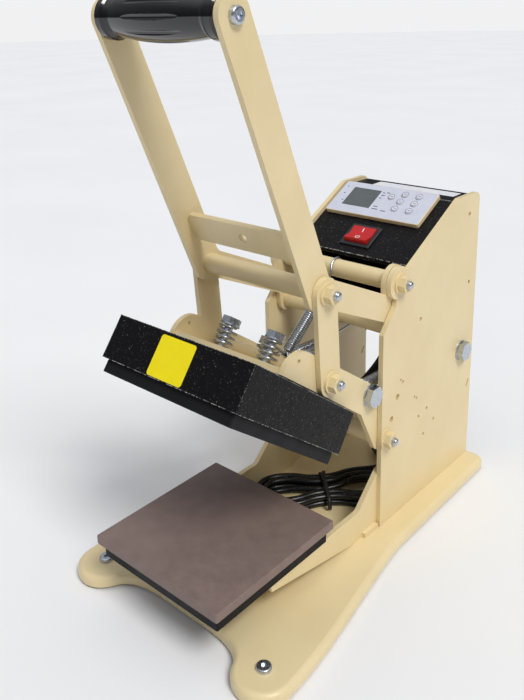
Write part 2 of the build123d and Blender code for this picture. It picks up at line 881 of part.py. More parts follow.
def arm_profile():
    """Side view of an upper arm: round nose, level belly, tail turned down to the arm pivot."""
    with BuildLine() as outline:
        Polyline(
            (-arm_nose, arm_floor),
            (-arm_leg_start, arm_floor),
            (-arm_eye_radius * 0.5, -arm_eye_radius * 0.87),
            (arm_eye_radius * 0.92, arm_eye_radius * 0.4),
            (-arm_eye_radius, arm_top),
            (-arm_leg_start, arm_top + arm_taper),
            (-arm_nose, arm_top - arm_taper),
            close=True,
        )
    make_face(outline.edges())
    with Locations((0, 0)):
        Circle(arm_eye_radius)


for side, name in sides:
    with BuildPart() as arm:
        with BuildSketch(arm_plane(side * arm_inner)):
            arm_profile()
            fillet(vertices().sort_by_distance((-arm_nose, arm_top - arm_taper, 0))[0], arm_nose_fillet)
            with Locations((0, 0), toggle_eye):
                Circle(shaft_radius + pivot_fit, mode=Mode.SUBTRACT)
            with Locations((-arm_rod_back, arm_rod_rise)):
                Circle(rod_bolt_radius + pivot_fit, mode=Mode.SUBTRACT)
            with Locations((-arm_nose + arm_nose_hole_back, arm_floor + arm_nose_hole_rise)):
                Circle(arm_nose_hole_radius, mode=Mode.SUBTRACT)
        extrude(amount=side * arm_sheet)
    save(arm, f"upper_arm_{name}")

with BuildPart() as toggle_tube:
    cross_tube(toggle_open, arm_inner, toggle_tube_radius, shaft_radius + pivot_fit)
save(toggle_tube, "toggle_tube")
with BuildPart() as toggle_shaft:
    cross_shaft(toggle_open, stud_end, shaft_radius)
save(toggle_shaft, "toggle_shaft")
with BuildPart() as toggle_nuts:
    flange_nuts(link_outer + collar_gap, toggle_open)
save(toggle_nuts, "toggle_nuts")
with BuildPart() as arm_tube:
    cross_tube(arm_pivot, arm_inner, tube_radius, shaft_radius + pivot_fit)
save(arm_tube, "arm_pivot_tube")
arm_rod_place = raised(arm_pivot[0] - arm_rod_back, arm_pivot[1] + arm_rod_rise)
with BuildPart() as arm_bar:
    tapped_rod(arm_rod_place, arm_inner, cross_rod_radius)
save(arm_bar, "arm_cross_rod")
with BuildPart() as arm_bolts:
    for side, _ in sides:
        hex_bolt(
            layer_outer, arm_rod_place, side, bolt_flats, bolt_head, rod_bolt_radius, arm_sheet + rod_bolt_depth
        )
save(arm_bolts, "arm_rod_bolts")


# Mounting plate across the arms, with the tab of the lift spring and the pressure boss
bolt_middle_y = arm_pivot[0] - bolt_front + bolt_spacing_y / 2
mount_front_y = arm_pivot[0] - arm_nose + mount_setback
mount_middle_y = mount_front_y + mount_depth / 2
tab_foot = (-lift_tab[0], mount_top - arm_pivot[1])
tab_hole = raised(arm_pivot[0] - lift_tab[0], arm_pivot[1] + lift_tab[1])
with BuildPart() as mount:
    with BuildSketch(press_plane(mount_bottom, mount_middle_y)):
        Rectangle(2 * arm_inner, mount_depth)
        with Locations((0, bolt_middle_y - mount_middle_y)):
            with GridLocations(bolt_spacing_x, bolt_spacing_y, 2, 2):
                Circle(platen_bolt_radius + bolt_slack, mode=Mode.SUBTRACT)
    extrude(amount=mount_sheet)
    with BuildSketch(press_plane(mount_bottom, bolt_middle_y)):
        Circle(boss_radius)
    extrude(amount=-mount_gap)
    with BuildSketch(arm_plane(-tab_sheet / 2)) as tab:
        with Locations((-lift_tab[0], (tab_foot[1] + lift_tab[1]) / 2)):
            Rectangle(2 * tab_radius, lift_tab[1] - tab_foot[1])
        with Locations((-lift_tab[0], lift_tab[1])):
            Circle(tab_radius)
            Circle(tab_hole_radius, mode=Mode.SUBTRACT)
    extrude(tab.sketch, amount=tab_sheet)
save(mount, "mounting_plate")


# Heated square: aluminium plate, insulation, sheet cover and the four spring bolts
heater_bottom = pad_top + press_gap
heater_top = heater_bottom + heater_thickness


def bolt_holes(radius):
    """The four bolt places, seen from the middle of the heated square."""
    with Locations((0, bolt_middle_y)), GridLocations(bolt_spacing_x, bolt_spacing_y, 2, 2):
        Circle(radius)


with BuildPart() as heater:
    with BuildSketch(press_plane(heater_bottom)):
        RectangleRounded(platen_size, platen_size, pad_corner)
    extrude(amount=heater_thickness)
    chamfer(heater.faces().sort_by(Axis.Z)[0].edges(), 0.6)
    with BuildSketch(press_plane(heater_top)) as thread:
        bolt_holes(platen_bolt_radius + pivot_fit)
    extrude(thread.sketch, amount=-bolt_thread_depth - 0.5, mode=Mode.SUBTRACT)
save(heater, "heater_plate")

cover_side = platen_size + 2 * cover_overhang
with BuildPart() as cover:
    with BuildSketch(press_plane(heater_top)):
        RectangleRounded(cover_side, cover_side, cover_corner)
    extrude(amount=cover_height)
    with BuildSketch(press_plane(heater_top)) as inside:
        Rectangle(cover_side - 2 * cover_sheet, cover_side - 2 * cover_sheet)
    extrude(inside.sketch, amount=cover_height - cover_sheet, mode=Mode.SUBTRACT)
    with BuildSketch(press_plane(cover_top)) as holes:
        bolt_holes(platen_bolt_radius + bolt_slack)
    extrude(holes.sketch, amount=-cover_sheet, mode=Mode.SUBTRACT)
    rear_wall = press_plane(cover_top - gland_drop, cover_side / 2)
    with BuildSketch(Plane(origin=rear_wall.origin, x_dir=(1, 0, 0), z_dir=rear_wall.y_dir)) as gland:
        with Locations((heater_cable_x, 0)):
            Circle(gland_radius)
    extrude(gland.sketch, amount=gland_length)
save(cover, "platen_cover")

with BuildPart() as insulation:
    with BuildSketch(press_plane(heater_top)) as board:
        Rectangle(platen_size - 2 * insulation_margin, platen_size - 2 * insulation_margin)
        with Locations((0, bolt_middle_y)), GridLocations(bolt_spacing_x, bolt_spacing_y, 2, 2):
            Circle(platen_bolt_radius + bolt_slack, mode=Mode.SUBTRACT)
    extrude(board.sketch, amount=cover_height - cover_sheet)
save(insulation, "insulation_board")

bolt_seat = mount_top + platen_spring_length
with BuildPart() as platen_bolts:
    with BuildSketch(press_plane(heater_top - bolt_thread_depth)) as shanks:
        bolt_holes(platen_bolt_radius)
    extrude(shanks.sketch, amount=bolt_seat - heater_top + bolt_thread_depth)
    with BuildSketch(press_plane(bolt_seat)) as rims:
        bolt_holes(bolt_rim_radius)
    extrude(rims.sketch, amount=bolt_rim)
    with BuildSketch(press_plane(bolt_seat + bolt_rim)) as heads:
        with Locations((0, bolt_middle_y)), GridLocations(bolt_spacing_x, bolt_spacing_y, 2, 2):
            RegularPolygon(hex_radius(platen_bolt_flats), 6)
    extrude(heads.sketch, amount=platen_bolt_head - bolt_rim)
save(platen_bolts, "platen_bolts")


# Wound wire: every span is two arcs that meet in one direction
def unit(vector):
    """A vector of length one."""
    return vector / vector.length


def smooth_path(stations):
    """Join (point, direction) stations by biarcs; straight spans become lines."""
    for (start, way), (end, end_way) in zip(stations, stations[1:]):
        span = end - start
        if (unit(span) - way).length < 1e-4 and (unit(span) - end_way).length < 1e-4:
            Line(start, end)
            continue
        lean = span.dot(way + end_way)
        closing = 2 * (1 - way.dot(end_way))
        if closing < 1e-9:
            reach = span.dot(span) / (2 * lean)
        else:
            reach = (sqrt(lean**2 + closing * span.dot(span)) - lean) / closing
        first = start + way * reach
        last = end - end_way * reach
        middle = (first + last) / 2
        TangentArc(start, middle, tangent=way)
        TangentArc(middle, end, tangent=unit(last - first))


def least_gap(path, width, step):
    """Smallest clear distance of a wire to itself, measured on points along its path."""
    count = int(path.length / step)
    points = [path @ (index / count) for index in range(count + 1)]
    skip = int(2.2 * width / step) + 1
    gap = 1000.0
    for index, point in enumerate(points):
        for other in points[index + skip:]:
            distance = abs(point.X - other.X)
            if distance < gap + width:
                gap = min(gap, (point - other).length - width)
    return gap


def wire(path, radius):
    """Round wire along a path."""
    with BuildSketch(Plane(origin=path @ 0, z_dir=path % 0)) as section:
        Circle(radius)
    sweep(section.sketch, path=path)


def helix_stations(origin, across, beside, along, radius, pitch, turns):
    """Half-turn stations of a coil about an axis."""
    rise = pitch / (2 * pi)
    stations = []
    for half in range(int(2 * turns) + 1):
        angle = pi * half
        outwards = across * cos(angle) + beside * sin(angle)
        onwards = beside * cos(angle) - across * sin(angle)
        point = origin + outwards * radius + along * (rise * angle)
        stations.append((point, unit(onwards * radius + along * rise)))
    return stations


platen_spring_pitch = (platen_spring_length - platen_spring_wire - 2 * seat_gap) / platen_spring_turns
with BuildPart() as platen_springs:
    for bolt_x in (-bolt_spacing_x / 2, bolt_spacing_x / 2):
        for bolt_y in (bolt_middle_y - bolt_spacing_y / 2, bolt_middle_y + bolt_spacing_y / 2):
            seat = press_plane(mount_top + platen_spring_wire / 2 + seat_gap, bolt_y)
            foot = seat.origin + Vector(bolt_x, 0, 0)
            with BuildLine() as coil:
                smooth_path(
                    helix_stations(
                        foot,
                        seat.x_dir,
                        seat.y_dir,
                        seat.z_dir,
                        platen_spring_radius,
                        platen_spring_pitch,
                        platen_spring_turns,
                    )
                )
            wire(coil.wire(), platen_spring_wire / 2)
    print("platen spring gap", least_gap(coil.wire(), platen_spring_wire, 1.5))
save(platen_springs, "platen_springs")


def tension_spring(x, start, end, lead, length, radius, turns, wire_width, start_ring, end_ring):
    """Extension spring between two (y, z) points; each ring hooks round a bar or through an eye."""
    first = Vector(x, start[0], start[1])
    last = Vector(x, end[0], end[1])
    along = unit(last - first)
    across = Vector(1, 0, 0)
    beside = along.cross(across)
    coil_start = first + along * lead
    stations = []
    if start_ring > 0:
        stations.append((first + beside * start_ring, along * -1))
        stations.append((first - beside * start_ring, along))
    else:
        eye = first + along * radius
        stations.append((eye - across * radius, along * -1))
        stations.append((eye + across * radius, along))
    pitch = length / turns
    coil = helix_stations(coil_start, beside * -1, across, along, radius, pitch, turns)
    stations.extend(coil)
    coil_end = first + along * (lead + length)
    hook_start = last - beside * end_ring - along * (end_ring * 1.2)
    if (hook_start - coil_end).dot(along) > 0.5 * radius:
        stations.append((hook_start, along))
    stations.append((last - beside * end_ring, along))
    stations.append((last + beside * end_ring, along * -1))
    smooth_path(stations)


lift_hook = tube_radius + lift_spring_wire / 2 + hook_gap
with BuildPart() as lift_spring:
    with BuildLine() as coil:
        tension_spring(
            0,
            tab_hole,
            lever_pivot,
            lift_spring_lead,
            lift_spring_length,
            lift_spring_radius,
            lift_spring_turns,
            lift_spring_wire,
            0,
            lift_hook,
        )
    wire(coil.wire(), lift_spring_wire / 2)
    print("lift spring gap", least_gap(coil.wire(), lift_spring_wire, 1.5))
save(lift_spring, "lift_spring")

return_hook = cross_rod_radius + return_spring_wire / 2 + hook_gap
with BuildPart() as return_springs:
    for side, _ in sides:
        with BuildLine() as coil:
            tension_spring(
                side * return_spring_x,
                arm_rod_place,
                rear_rod,
                return_spring_lead,
                return_spring_length,
                return_spring_radius,
                return_spring_turns,
                return_spring_wire,
                return_hook,
                return_hook,
            )
        wire(coil.wire(), return_spring_wire / 2)
    print("return spring gap", least_gap(coil.wire(), return_spring_wire, 1.5))
save(return_springs, "return_springs")


# Control box: folded cover between the side plates, open towards the lever
slope_angle = angle_of(slope_low, (frame_slope_y, frame_top_z))
cover_slope_low = beyond(slope_low, slope_angle - 90, cover_recess)
slope_shift = (control_front_y - cover_slope_low[0]) / cos(radians(slope_angle))
control_corner = beyond(cover_slope_low, slope_angle, slope_shift)
control_top_z = frame_top_z - cover_recess
slope_length = (control_top_z - control_corner[1]) / sin(radians(slope_angle))
control_brow = beyond(control_corner, slope_angle, slope_length)
control_rear_y = frame_rear_y - control_rear_gap
control_half = frame_inner - control_side_gap


def slope_plane(x, up, above=0.0):
    """Plane on the sloped face: local x across the press, local y up the slope."""
    foot = beyond(beyond(control_corner, slope_angle, up), slope_angle + 90, above)
    turn = radians(slope_angle)
    return Plane(origin=(x, foot[0], foot[1]), x_dir=(1, 0, 0), z_dir=(0, -sin(turn), cos(turn)))


with BuildPart() as control:
    with BuildSketch(side_plane(-control_half)):
        with BuildLine() as outline:
            Polyline(
                control_corner,
                control_brow,
                (control_rear_y, control_top_z),
                (control_rear_y, control_floor_z),
                (control_belly[0], control_floor_z),
                control_belly,
                (control_front_y, control_corner[1] - control_lip),
                close=True,
            )
        make_face(outline.edges())
    extrude(amount=2 * control_half)
    open_faces = control.faces().filter_by(
        lambda face: face.center().Y < control_belly[0] + 0.1 and face.center().Z < control_corner[1] - control_lip
        and abs(face.center().X) < 1
    )
    offset(amount=-control_sheet, openings=open_faces)
    with BuildSketch(slope_plane(controller_x, controller_up)) as window:
        Rectangle(
            controller_width - 2 * controller_back_margin + 2 * window_gap,
            controller_height - 2 * controller_back_margin + 2 * window_gap,
        )
    extrude(window.sketch, amount=-2 * control_sheet, mode=Mode.SUBTRACT)
    with BuildSketch(slope_plane(rocker_x, rocker_up)) as switch_window:
        switch_window_width = rocker_width + 2 * (switch_wall + window_gap)
        Rectangle(switch_window_width, rocker_height + 2 * (switch_wall + window_gap))
    extrude(switch_window.sketch, amount=-2 * control_sheet, mode=Mode.SUBTRACT)
    with BuildSketch(Plane.XY.offset(control_floor_z)) as relief_holes:
        with Locations((mains_x, mains_y), (heater_cable_x, heater_cable_y)):
            Circle(relief_neck + relief_clearance)
    extrude(relief_holes.sketch, amount=2 * control_sheet, mode=Mode.SUBTRACT)
save(control, "control_cover")

with BuildPart() as reliefs:
    with BuildSketch(Plane.XY.offset(control_floor_z)) as flange:
        with Locations((mains_x, mains_y), (heater_cable_x, heater_cable_y)):
            Circle(relief_flange)
    extrude(flange.sketch, amount=-relief_flange_thickness)
    with BuildSketch(Plane.XY.offset(control_floor_z - relief_drop)) as neck:
        with Locations((mains_x, mains_y), (heater_cable_x, heater_cable_y)):
            Circle(relief_neck)
    extrude(neck.sketch, amount=relief_drop + relief_reach)
save(reliefs, "strain_reliefs")


# Temperature controller with its display and seven keys
key_places = [(column, row) for row in button_rows for column in button_columns] + [lone_button]


def on_face(x, up):
    """Place of a point of the slope on the controller's own face."""
    return (x - controller_x, up - controller_up)


face_plane = slope_plane(controller_x, controller_up, controller_thickness)
with BuildPart() as controller:
    with BuildSketch(slope_plane(controller_x, controller_up)):
        RectangleRounded(controller_width, controller_height, controller_corner)
    extrude(amount=controller_thickness)
    fillet(controller.faces().sort_by(Axis.Z)[-1].edges(), controller_round)
    with BuildSketch(slope_plane(controller_x, controller_up)) as housing:
        Rectangle(
            controller_width - 2 * controller_back_margin,
            controller_height - 2 * controller_back_margin,
        )
    extrude(housing.sketch, amount=-controller_back)
    with BuildSketch(face_plane) as recess:
        with Locations(on_face(display_x, display_up)):
            Rectangle(display_width, display_height)
    extrude(recess.sketch, amount=-display_depth, mode=Mode.SUBTRACT)
    with BuildSketch(face_plane) as wells:
        with Locations([on_face(*place) for place in key_places]):
            Circle(button_radius + button_clearance)
    extrude(wells.sketch, amount=-button_depth - button_travel - button_floor_gap, mode=Mode.SUBTRACT)
save(controller, "controller_body")

with BuildPart() as display:
    with BuildSketch(face_plane):
        with Locations(on_face(display_x, display_up)):
            Rectangle(display_width - window_gap, display_height - window_gap)
    extrude(amount=-display_depth)
save(display, "controller_display")

for number, place in enumerate(key_places, start=1):
    with BuildPart() as key:
        with BuildSketch(slope_plane(place[0], place[1], controller_thickness - button_depth)):
            Circle(button_radius)
        extrude(amount=button_depth + button_rise)
        fillet(key.faces().sort_by(Axis.Z)[-1].edges(), button_round)
    save(key, f"button_{number}")

# Power switch: dark bezel and red rocker
with BuildPart() as bezel:
    with BuildSketch(slope_plane(rocker_x, rocker_up)):
        RectangleRounded(rocker_width + 2 * bezel_rim, rocker_height + 2 * bezel_rim, bezel_corner)
    extrude(amount=bezel_thickness)
    chamfer(bezel.faces().sort_by(Axis.Z)[-1].edges(), bezel_chamfer)
    with BuildSketch(slope_plane(rocker_x, rocker_up)) as body:
        Rectangle(rocker_width + 2 * switch_wall, rocker_height + 2 * switch_wall)
    extrude(body.sketch, amount=-switch_depth)
    with BuildSketch(slope_plane(rocker_x, rocker_up, bezel_thickness)) as pocket:
        Rectangle(rocker_width + 2 * rocker_clearance, rocker_height + 2 * rocker_clearance)
    extrude(pocket.sketch, amount=-switch_depth / 2 - bezel_thickness, mode=Mode.SUBTRACT)
save(bezel, "switch_bezel")

rocker_pivot = beyond(control_corner, slope_angle, rocker_up)
with BuildPart() as rocker:
    rocker_plane = side_plane(rocker_x - rocker_width / 2, rocker_pivot, slope_angle - rocker_throw / 2)
    with BuildSketch(rocker_plane):
        Circle(rocker_height / 2)
        with BuildLine() as paddle:
            Polyline(
                (-rocker_height, -rocker_crown),
                (-rocker_height, 2 * rocker_crown - rocker_dip),
                (0, rocker_dip),
                (rocker_height, 2 * rocker_crown - rocker_dip),
                (rocker_height, -rocker_crown),
                close=True,
            )
        make_face(paddle.edges(), mode=Mode.INTERSECT)
    extrude(amount=rocker_width)
save(rocker, "rocker")


# Cords: straight runs joined by tangent arcs as large as the runs allow
def corner_radii(points):
    """Arc radius at each corner of a route: 0.45 of the shorter run over the tangent of half the turn."""
    radii = []
    for before, corner, after in zip(points, points[1:], points[2:]):
        inward = Vector(corner) - Vector(before)
        outward = Vector(after) - Vector(corner)
        half_turn = radians(inward.get_angle(outward)) / 2
        radii.append(0.45 * min(inward.length, outward.length) / tan(half_turn))
    return radii


def cord(points, radius, label):
    """A round cord along its route."""
    radii = corner_radii(points)
    with BuildPart() as tube:
        with BuildLine() as route:
            FilletPolyline(*points, radius=radii)
        wire(route.wire(), radius)
    length = route.wire().length
    print(label, "length", length, "radii", [round(value, 1) for value in radii])
    print(label, "volume", tube.part.volume, "section times length", pi * radius**2 * length)
    save(tube, label)


# Hank: one cord folded to and fro in two layers, drawn in at its waist
hank_axis = Vector(cos(radians(hank_turn)), sin(radians(hank_turn)), 0)
hank_beside = Vector(-sin(radians(hank_turn)), cos(radians(hank_turn)), 0)
hank_low = base_top + cord_radius + hook_gap
hank_high = hank_low + hank_layer


def hank_point(along, beside, height):
    """Place of a point given along and beside the axis of the hank."""
    middle = Vector(hank_centre[0], hank_centre[1], height)
    return middle + hank_axis * along + hank_beside * beside


hank_stations = []
turn_run = hank_runs // 2
for run in range(hank_runs):
    side = 1 if run % 2 == 0 else -1
    half_width = hank_inner + abs(turn_run - run) * hank_step / 2
    heading = -side
    start_height = hank_high if run <= turn_run else hank_low
    end_height = hank_high if run < turn_run else hank_low
    waist_height = (start_height + end_height) / 2
    for along, draw, height in (
        (-hank_straight, 0, start_height),
        (-hank_curve_end, 0, start_height),
        (-hank_waist, hank_draw, waist_height),
        (hank_waist, hank_draw, waist_height),
        (hank_curve_end, 0, end_height),
        (hank_straight, 0, end_height),
    ):
        place = hank_point(heading * along, side * (half_width - draw), height)
        hank_stations.append((place, hank_axis * heading))
lead_in = hank_stations[0][0]
lead_out = hank_stations[-1][0]
with BuildPart() as hank:
    with BuildLine() as loops:
        Line(lead_in + hank_axis * 2 * cord_radius, lead_in)
        smooth_path(hank_stations)
        Line(lead_out, lead_out + hank_axis * 2 * cord_radius)
    wire(loops.wire(), cord_radius)
print("hank length", loops.wire().length, "gap", least_gap(loops.wire(), 2 * cord_radius, 4))
save(hank, "cord_hank")

hank_start = lead_in + hank_axis * 2 * cord_radius
hank_end = lead_out + hank_axis * 2 * cord_radius
print("hank start", hank_start, "hank end", hank_end)
relief_end = control_floor_z - relief_drop
mains_route = [
    (mains_x, mains_y, relief_end),
    (0, 283, 176),
    (1, 276, 156),
    (4, 266, 132),
    (10, 257, 108),
    (17, 252, 86),
    (24, 249, 67),
    (29.5, 245.5, 51),
    (31.5, 240, 37.5),
    (28.5, 233, 27.5),
    tuple(hank_start + hank_axis * 11),
    tuple(hank_start),
]
cord(mains_route, cord_radius, "mains_cord")
tail_route = [
    tuple(hank_end),
    tuple(hank_end + hank_axis * 9),
    (62, 200, hank_low + 0.2),
    (61.5, 213, 17),
    (56.5, 225, 18.5),
    (48, 235, plug_axis_z),
    (plug_nose[0], plug_nose[1], plug_axis_z),
]
cord(tail_route, cord_radius, "mains_tail")

# Moulded plug on the end of the cord
plug_way = unit(Vector(*tail_route[-1]) - Vector(*tail_route[-2]))
plug_way = unit(Vector(plug_way.X, plug_way.Y, 0))
plug_origin = Vector(*tail_route[-1])


def plug_plane(along):
    """Plane square to the plug, at a distance behind its nose."""
    across = Vector(plug_way.Y, -plug_way.X, 0)
    return Plane(origin=plug_origin + plug_way * along, x_dir=across, z_dir=plug_way)


with BuildPart() as plug:
    with BuildSketch(plug_plane(0)):
        Circle(cord_radius + plug_neck_wall)
    with BuildSketch(plug_plane(plug_nose_length)):
        Circle(plug_height / 2 - plug_shoulder)
    loft()
    with BuildSketch(plug_plane(plug_nose_length)):
        RectangleRounded(plug_width - plug_taper_width, plug_height - plug_taper_height, plug_corner)
    with BuildSketch(plug_plane(plug_nose_length + plug_body_length)):
        RectangleRounded(plug_width, plug_height, plug_corner)
    loft()
    with BuildSketch(plug_plane(plug_nose_length + plug_body_length)) as pins:
        with Locations((-plug_pin_spacing / 2, 0), (plug_pin_spacing / 2, 0)):
            Circle(plug_pin_radius)
    extrude(pins.sketch, amount=plug_pin_length)
save(plug, "plug")

# Sleeved heater cable from the control box to the heated square, slack enough for the swing
gland_end = press_plane(cover_top - gland_drop, cover_side / 2 + gland_length)
gland_point = gland_end.origin + Vector(heater_cable_x, 0, 0)
gland_lead = gland_point + gland_end.y_dir * heater_cable_lead
heater_route = [
    (heater_cable_x, heater_cable_y, relief_end),
    (heater_cable_x, heater_cable_y, relief_end - heater_cable_lead),
    (25, 237, 163),
    (25, 218, 150),
    (25, 198, 143),
    (25, 178, 137),
    (25, 158, 133),
    (25, 139, 130),
    (25, 122, 131),
    tuple(gland_lead),
    tuple(gland_point),
]
cord(heater_route, heater_cable_radius, "heater_cable")
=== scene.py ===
# %% [markdown]
# # A small clamshell heat press
#
# The press was drawn in CAD first, so its plates, tubes and bolts arrive at full
# size. Blender gives each of them its finish, and adds what CAD leaves plain:
# the wound springs, the cords, the decals and the marks on the switch. Every length
# is in metres, and the origin lies on the floor under the middle of the base.

# %% Load the press
import math

import bpy
import numpy as np
from mathutils import Matrix, Vector


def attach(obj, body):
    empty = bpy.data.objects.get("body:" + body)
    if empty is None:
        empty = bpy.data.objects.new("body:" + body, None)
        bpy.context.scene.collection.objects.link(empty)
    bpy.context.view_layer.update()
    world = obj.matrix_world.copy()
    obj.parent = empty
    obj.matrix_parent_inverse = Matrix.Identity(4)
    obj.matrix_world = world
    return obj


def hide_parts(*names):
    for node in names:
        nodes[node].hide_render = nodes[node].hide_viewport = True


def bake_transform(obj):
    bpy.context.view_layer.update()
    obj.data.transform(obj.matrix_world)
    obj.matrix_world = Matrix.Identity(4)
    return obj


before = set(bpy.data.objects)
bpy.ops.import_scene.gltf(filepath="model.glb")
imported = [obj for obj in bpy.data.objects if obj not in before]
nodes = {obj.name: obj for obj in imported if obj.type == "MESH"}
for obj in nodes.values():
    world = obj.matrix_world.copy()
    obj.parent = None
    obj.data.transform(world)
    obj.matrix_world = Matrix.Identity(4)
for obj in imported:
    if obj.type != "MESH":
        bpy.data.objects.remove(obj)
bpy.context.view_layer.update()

# %% [markdown]
# ## The camera
#
# The photograph was taken from the right of the press, a little above it. The lens
# and the place of the camera were fitted to corners of the lower platen, the base and
# the side plates, with the platen taken as 150 mm square. The picture was cropped off
# centre, so the lens is shifted instead of the camera being turned.

# %% Place the camera
picture = (524, 700)
camera_place = Vector((0.43837, -0.54296, 0.51298))
azimuth, elevation, roll = (math.radians(angle) for angle in (41.6605, 16.5312, -1.3586))
focal_pixels = 784.3
lens_middle = (268.82, 238.09)

backwards = Vector(
    (
        math.sin(azimuth) * math.cos(elevation),
        -math.cos(azimuth) * math.cos(elevation),
        math.sin(elevation),
    )
)
level = Vector((math.cos(azimuth), math.sin(azimuth), 0))
upright = backwards.cross(level)
camera_right = level * math.cos(roll) + upright * math.sin(roll)
camera_up = upright * math.cos(roll) - level * math.sin(roll)

lens = bpy.data.cameras.new("camera")
lens.sensor_width = 36
lens.lens = focal_pixels * lens.sensor_width / picture[1]
lens.shift_x = (picture[0] / 2 - lens_middle[0]) / picture[1]
lens.shift_y = (lens_middle[1] - picture[1] / 2) / picture[1]
lens.clip_start = 0.01
camera = bpy.data.objects.new("camera", lens)
bpy.context.scene.collection.objects.link(camera)
camera.matrix_world = Matrix.Translation(camera_place) @ Matrix(
    (camera_right, camera_up, backwards)
).transposed().to_4x4()
bpy.context.scene.camera = camera
print("lens", round(lens.lens, 2), "mm, shift", round(lens.shift_x, 4), round(lens.shift_y, 4))

# %% [markdown]
# ## Grids and paths
#
# Every new piece is a surface over a grid of points. A grid can wrap round on
# itself, as a tube does, and its open ends can be closed by flat caps. A tube
# follows a line: at each point of the line it needs two directions square to it,
# and each pair is carried on from the pair before, so that the tube never twists.

# %% Make a mesh from a grid
def add_piece(name, points, faces, smooth=True):
    """An object at the origin whose mesh has these points and faces."""
    mesh = bpy.data.meshes.new(name)
    mesh.from_pydata(np.asarray(points, float).tolist(), [], faces)
    mesh.update()
    mesh.polygons.foreach_set("use_smooth", np.full(len(mesh.polygons), smooth))
    piece = bpy.data.objects.new(name, mesh)
    bpy.context.scene.collection.objects.link(piece)
    return piece


def grid_faces(rows, columns):
    """Four-sided faces between neighbours of a grid whose columns wrap round."""
    index = np.arange(rows * columns).reshape(rows, columns)
    beside = np.roll(index, -1, axis=1)
    quads = np.stack([index[:-1], beside[:-1], beside[1:], index[1:]], axis=-1)
    return quads.reshape(-1, 4).tolist()


def wrapped(name, grid, smooth=True):
    """A closed tube of rings: rings[i, j] is point j of ring i, with a flat cap at each end."""
    rows, columns = grid.shape[:2]
    faces = grid_faces(rows, columns)
    faces.append(list(range(columns))[::-1])
    faces.append(list(range((rows - 1) * columns, rows * columns)))
    return add_piece(name, grid.reshape(-1, 3), faces, smooth)


def joined(name, pieces):
    """One object from several, kept at the origin."""
    points, faces, count = [], [], 0
    for piece in pieces:
        flat = np.empty(len(piece.data.vertices) * 3)
        piece.data.vertices.foreach_get("co", flat)
        points.append(flat.reshape(-1, 3))
        faces.extend([[count + i for i in face.vertices] for face in piece.data.polygons])
        count += len(piece.data.vertices)
        bpy.data.objects.remove(piece)
    return add_piece(name, np.concatenate(points), faces)


# %% Carry a profile along a line
def directions(line):
    """Unit directions along a line and two square to it: the first is carried on, less its share along."""
    along = np.gradient(line, axis=0)
    along /= np.linalg.norm(along, axis=1)[:, None]
    first = np.empty_like(along)
    carried = np.cross(along[0], (0.31, 0.17, 0.94))
    for place, way in enumerate(along):
        carried = carried - way * (carried @ way)
        carried = carried / np.linalg.norm(carried)
        first[place] = carried
    return along, first, np.cross(along, first)


def tube(name, line, radius, sides=12):
    """A round tube: each point of the line plus radius times the cosine and sine of the turn."""
    along, first, second = directions(line)
    turn = np.linspace(0, 2 * np.pi, sides, endpoint=False)
    reach = np.broadcast_to(np.asarray(radius, float), (len(line),))[:, None, None]
    ring = np.cos(turn)[None, :, None] * first[:, None] + np.sin(turn)[None, :, None] * second[:, None]
    return wrapped(name, line[:, None] + reach * ring)


# %% [markdown]
# ## Places on the press
#
# Much of the press is tilted. The arms and the heated square stand open by 37 degrees,
# and the controller lies on a slope. It is easiest to say where a thing is along the
# tilted face itself, and to turn that into a place of the press afterwards.

# %% Places on the tilted arms and on the slope
across = np.array((1.0, 0, 0))
lean = math.radians(37)
face_up = np.array((0, math.sin(lean), math.cos(lean)))
face_back = np.array((0, math.cos(lean), -math.sin(lean)))
arm_pivot = np.array((0, 0.0305, 0.109))
lever_pivot = np.array((0, 0.0495, 0.263))
slope = math.radians(27.979474)
slope_foot = np.array((0.0, 0.0725, 0.27231))
slope_up = np.array((0, math.cos(slope), math.sin(slope)))
slope_out = np.array((0, -math.sin(slope), math.cos(slope)))
slope_length = 0.09738
case_thickness = 0.005


def on_arms(x, back, up):
    """A point of the shut press, given from the arm pivot, where it stands with the arms tilted open."""
    return arm_pivot + across * x + face_back * back + face_up * up


def on_slope(x, up, above=0.0):
    """A point of the slope: x across the press, a way up the slope, and a height above it."""
    return slope_foot + across * x + slope_up * up + slope_out * above


cover_middle = on_arms(0, -0.161, -0.0115)
cover_half = (0.079, 0.079, 0.0195)
print("middle of the platen cover", np.round(cover_middle, 4))

# %% [markdown]
# ## Finishes
#
# The frame has a cream powder coat, the two covers a black wrinkle coat, and the
# bolts and springs are zinc plated. A powder coat is never quite flat: it has a fine
# orange peel, and its gloss changes a little from place to place. Each finish here
# takes a noise on Object coordinates for its colour, its gloss and its bump, so the
# grain has one real size on every piece.

# %% Build a finish from noise
def tone(red, green, blue):
    """Colour values of 0 to 255 as a screen shows them, turned into light."""
    value = np.array((red, green, blue)) / 255
    return tuple(np.where(value > 0.04045, ((value + 0.055) / 1.055) ** 2.4, value / 12.92)) + (1.0,)


def shader(name, colour, rough, metal=0.0, coat=0.0, specular=0.5):
    """A new material with its main shader set, and its node tree to add to."""
    material = bpy.data.materials.new(name)
    material.use_nodes = True
    tree = material.node_tree
    main = tree.nodes["Principled BSDF"]
    main.inputs["Base Color"].default_value = colour
    main.inputs["Roughness"].default_value = rough
    main.inputs["Metallic"].default_value = metal
    main.inputs["Coat Weight"].default_value = coat
    main.inputs["Coat Roughness"].default_value = 0.12
    main.inputs["Specular IOR Level"].default_value = specular
    return material, tree, main


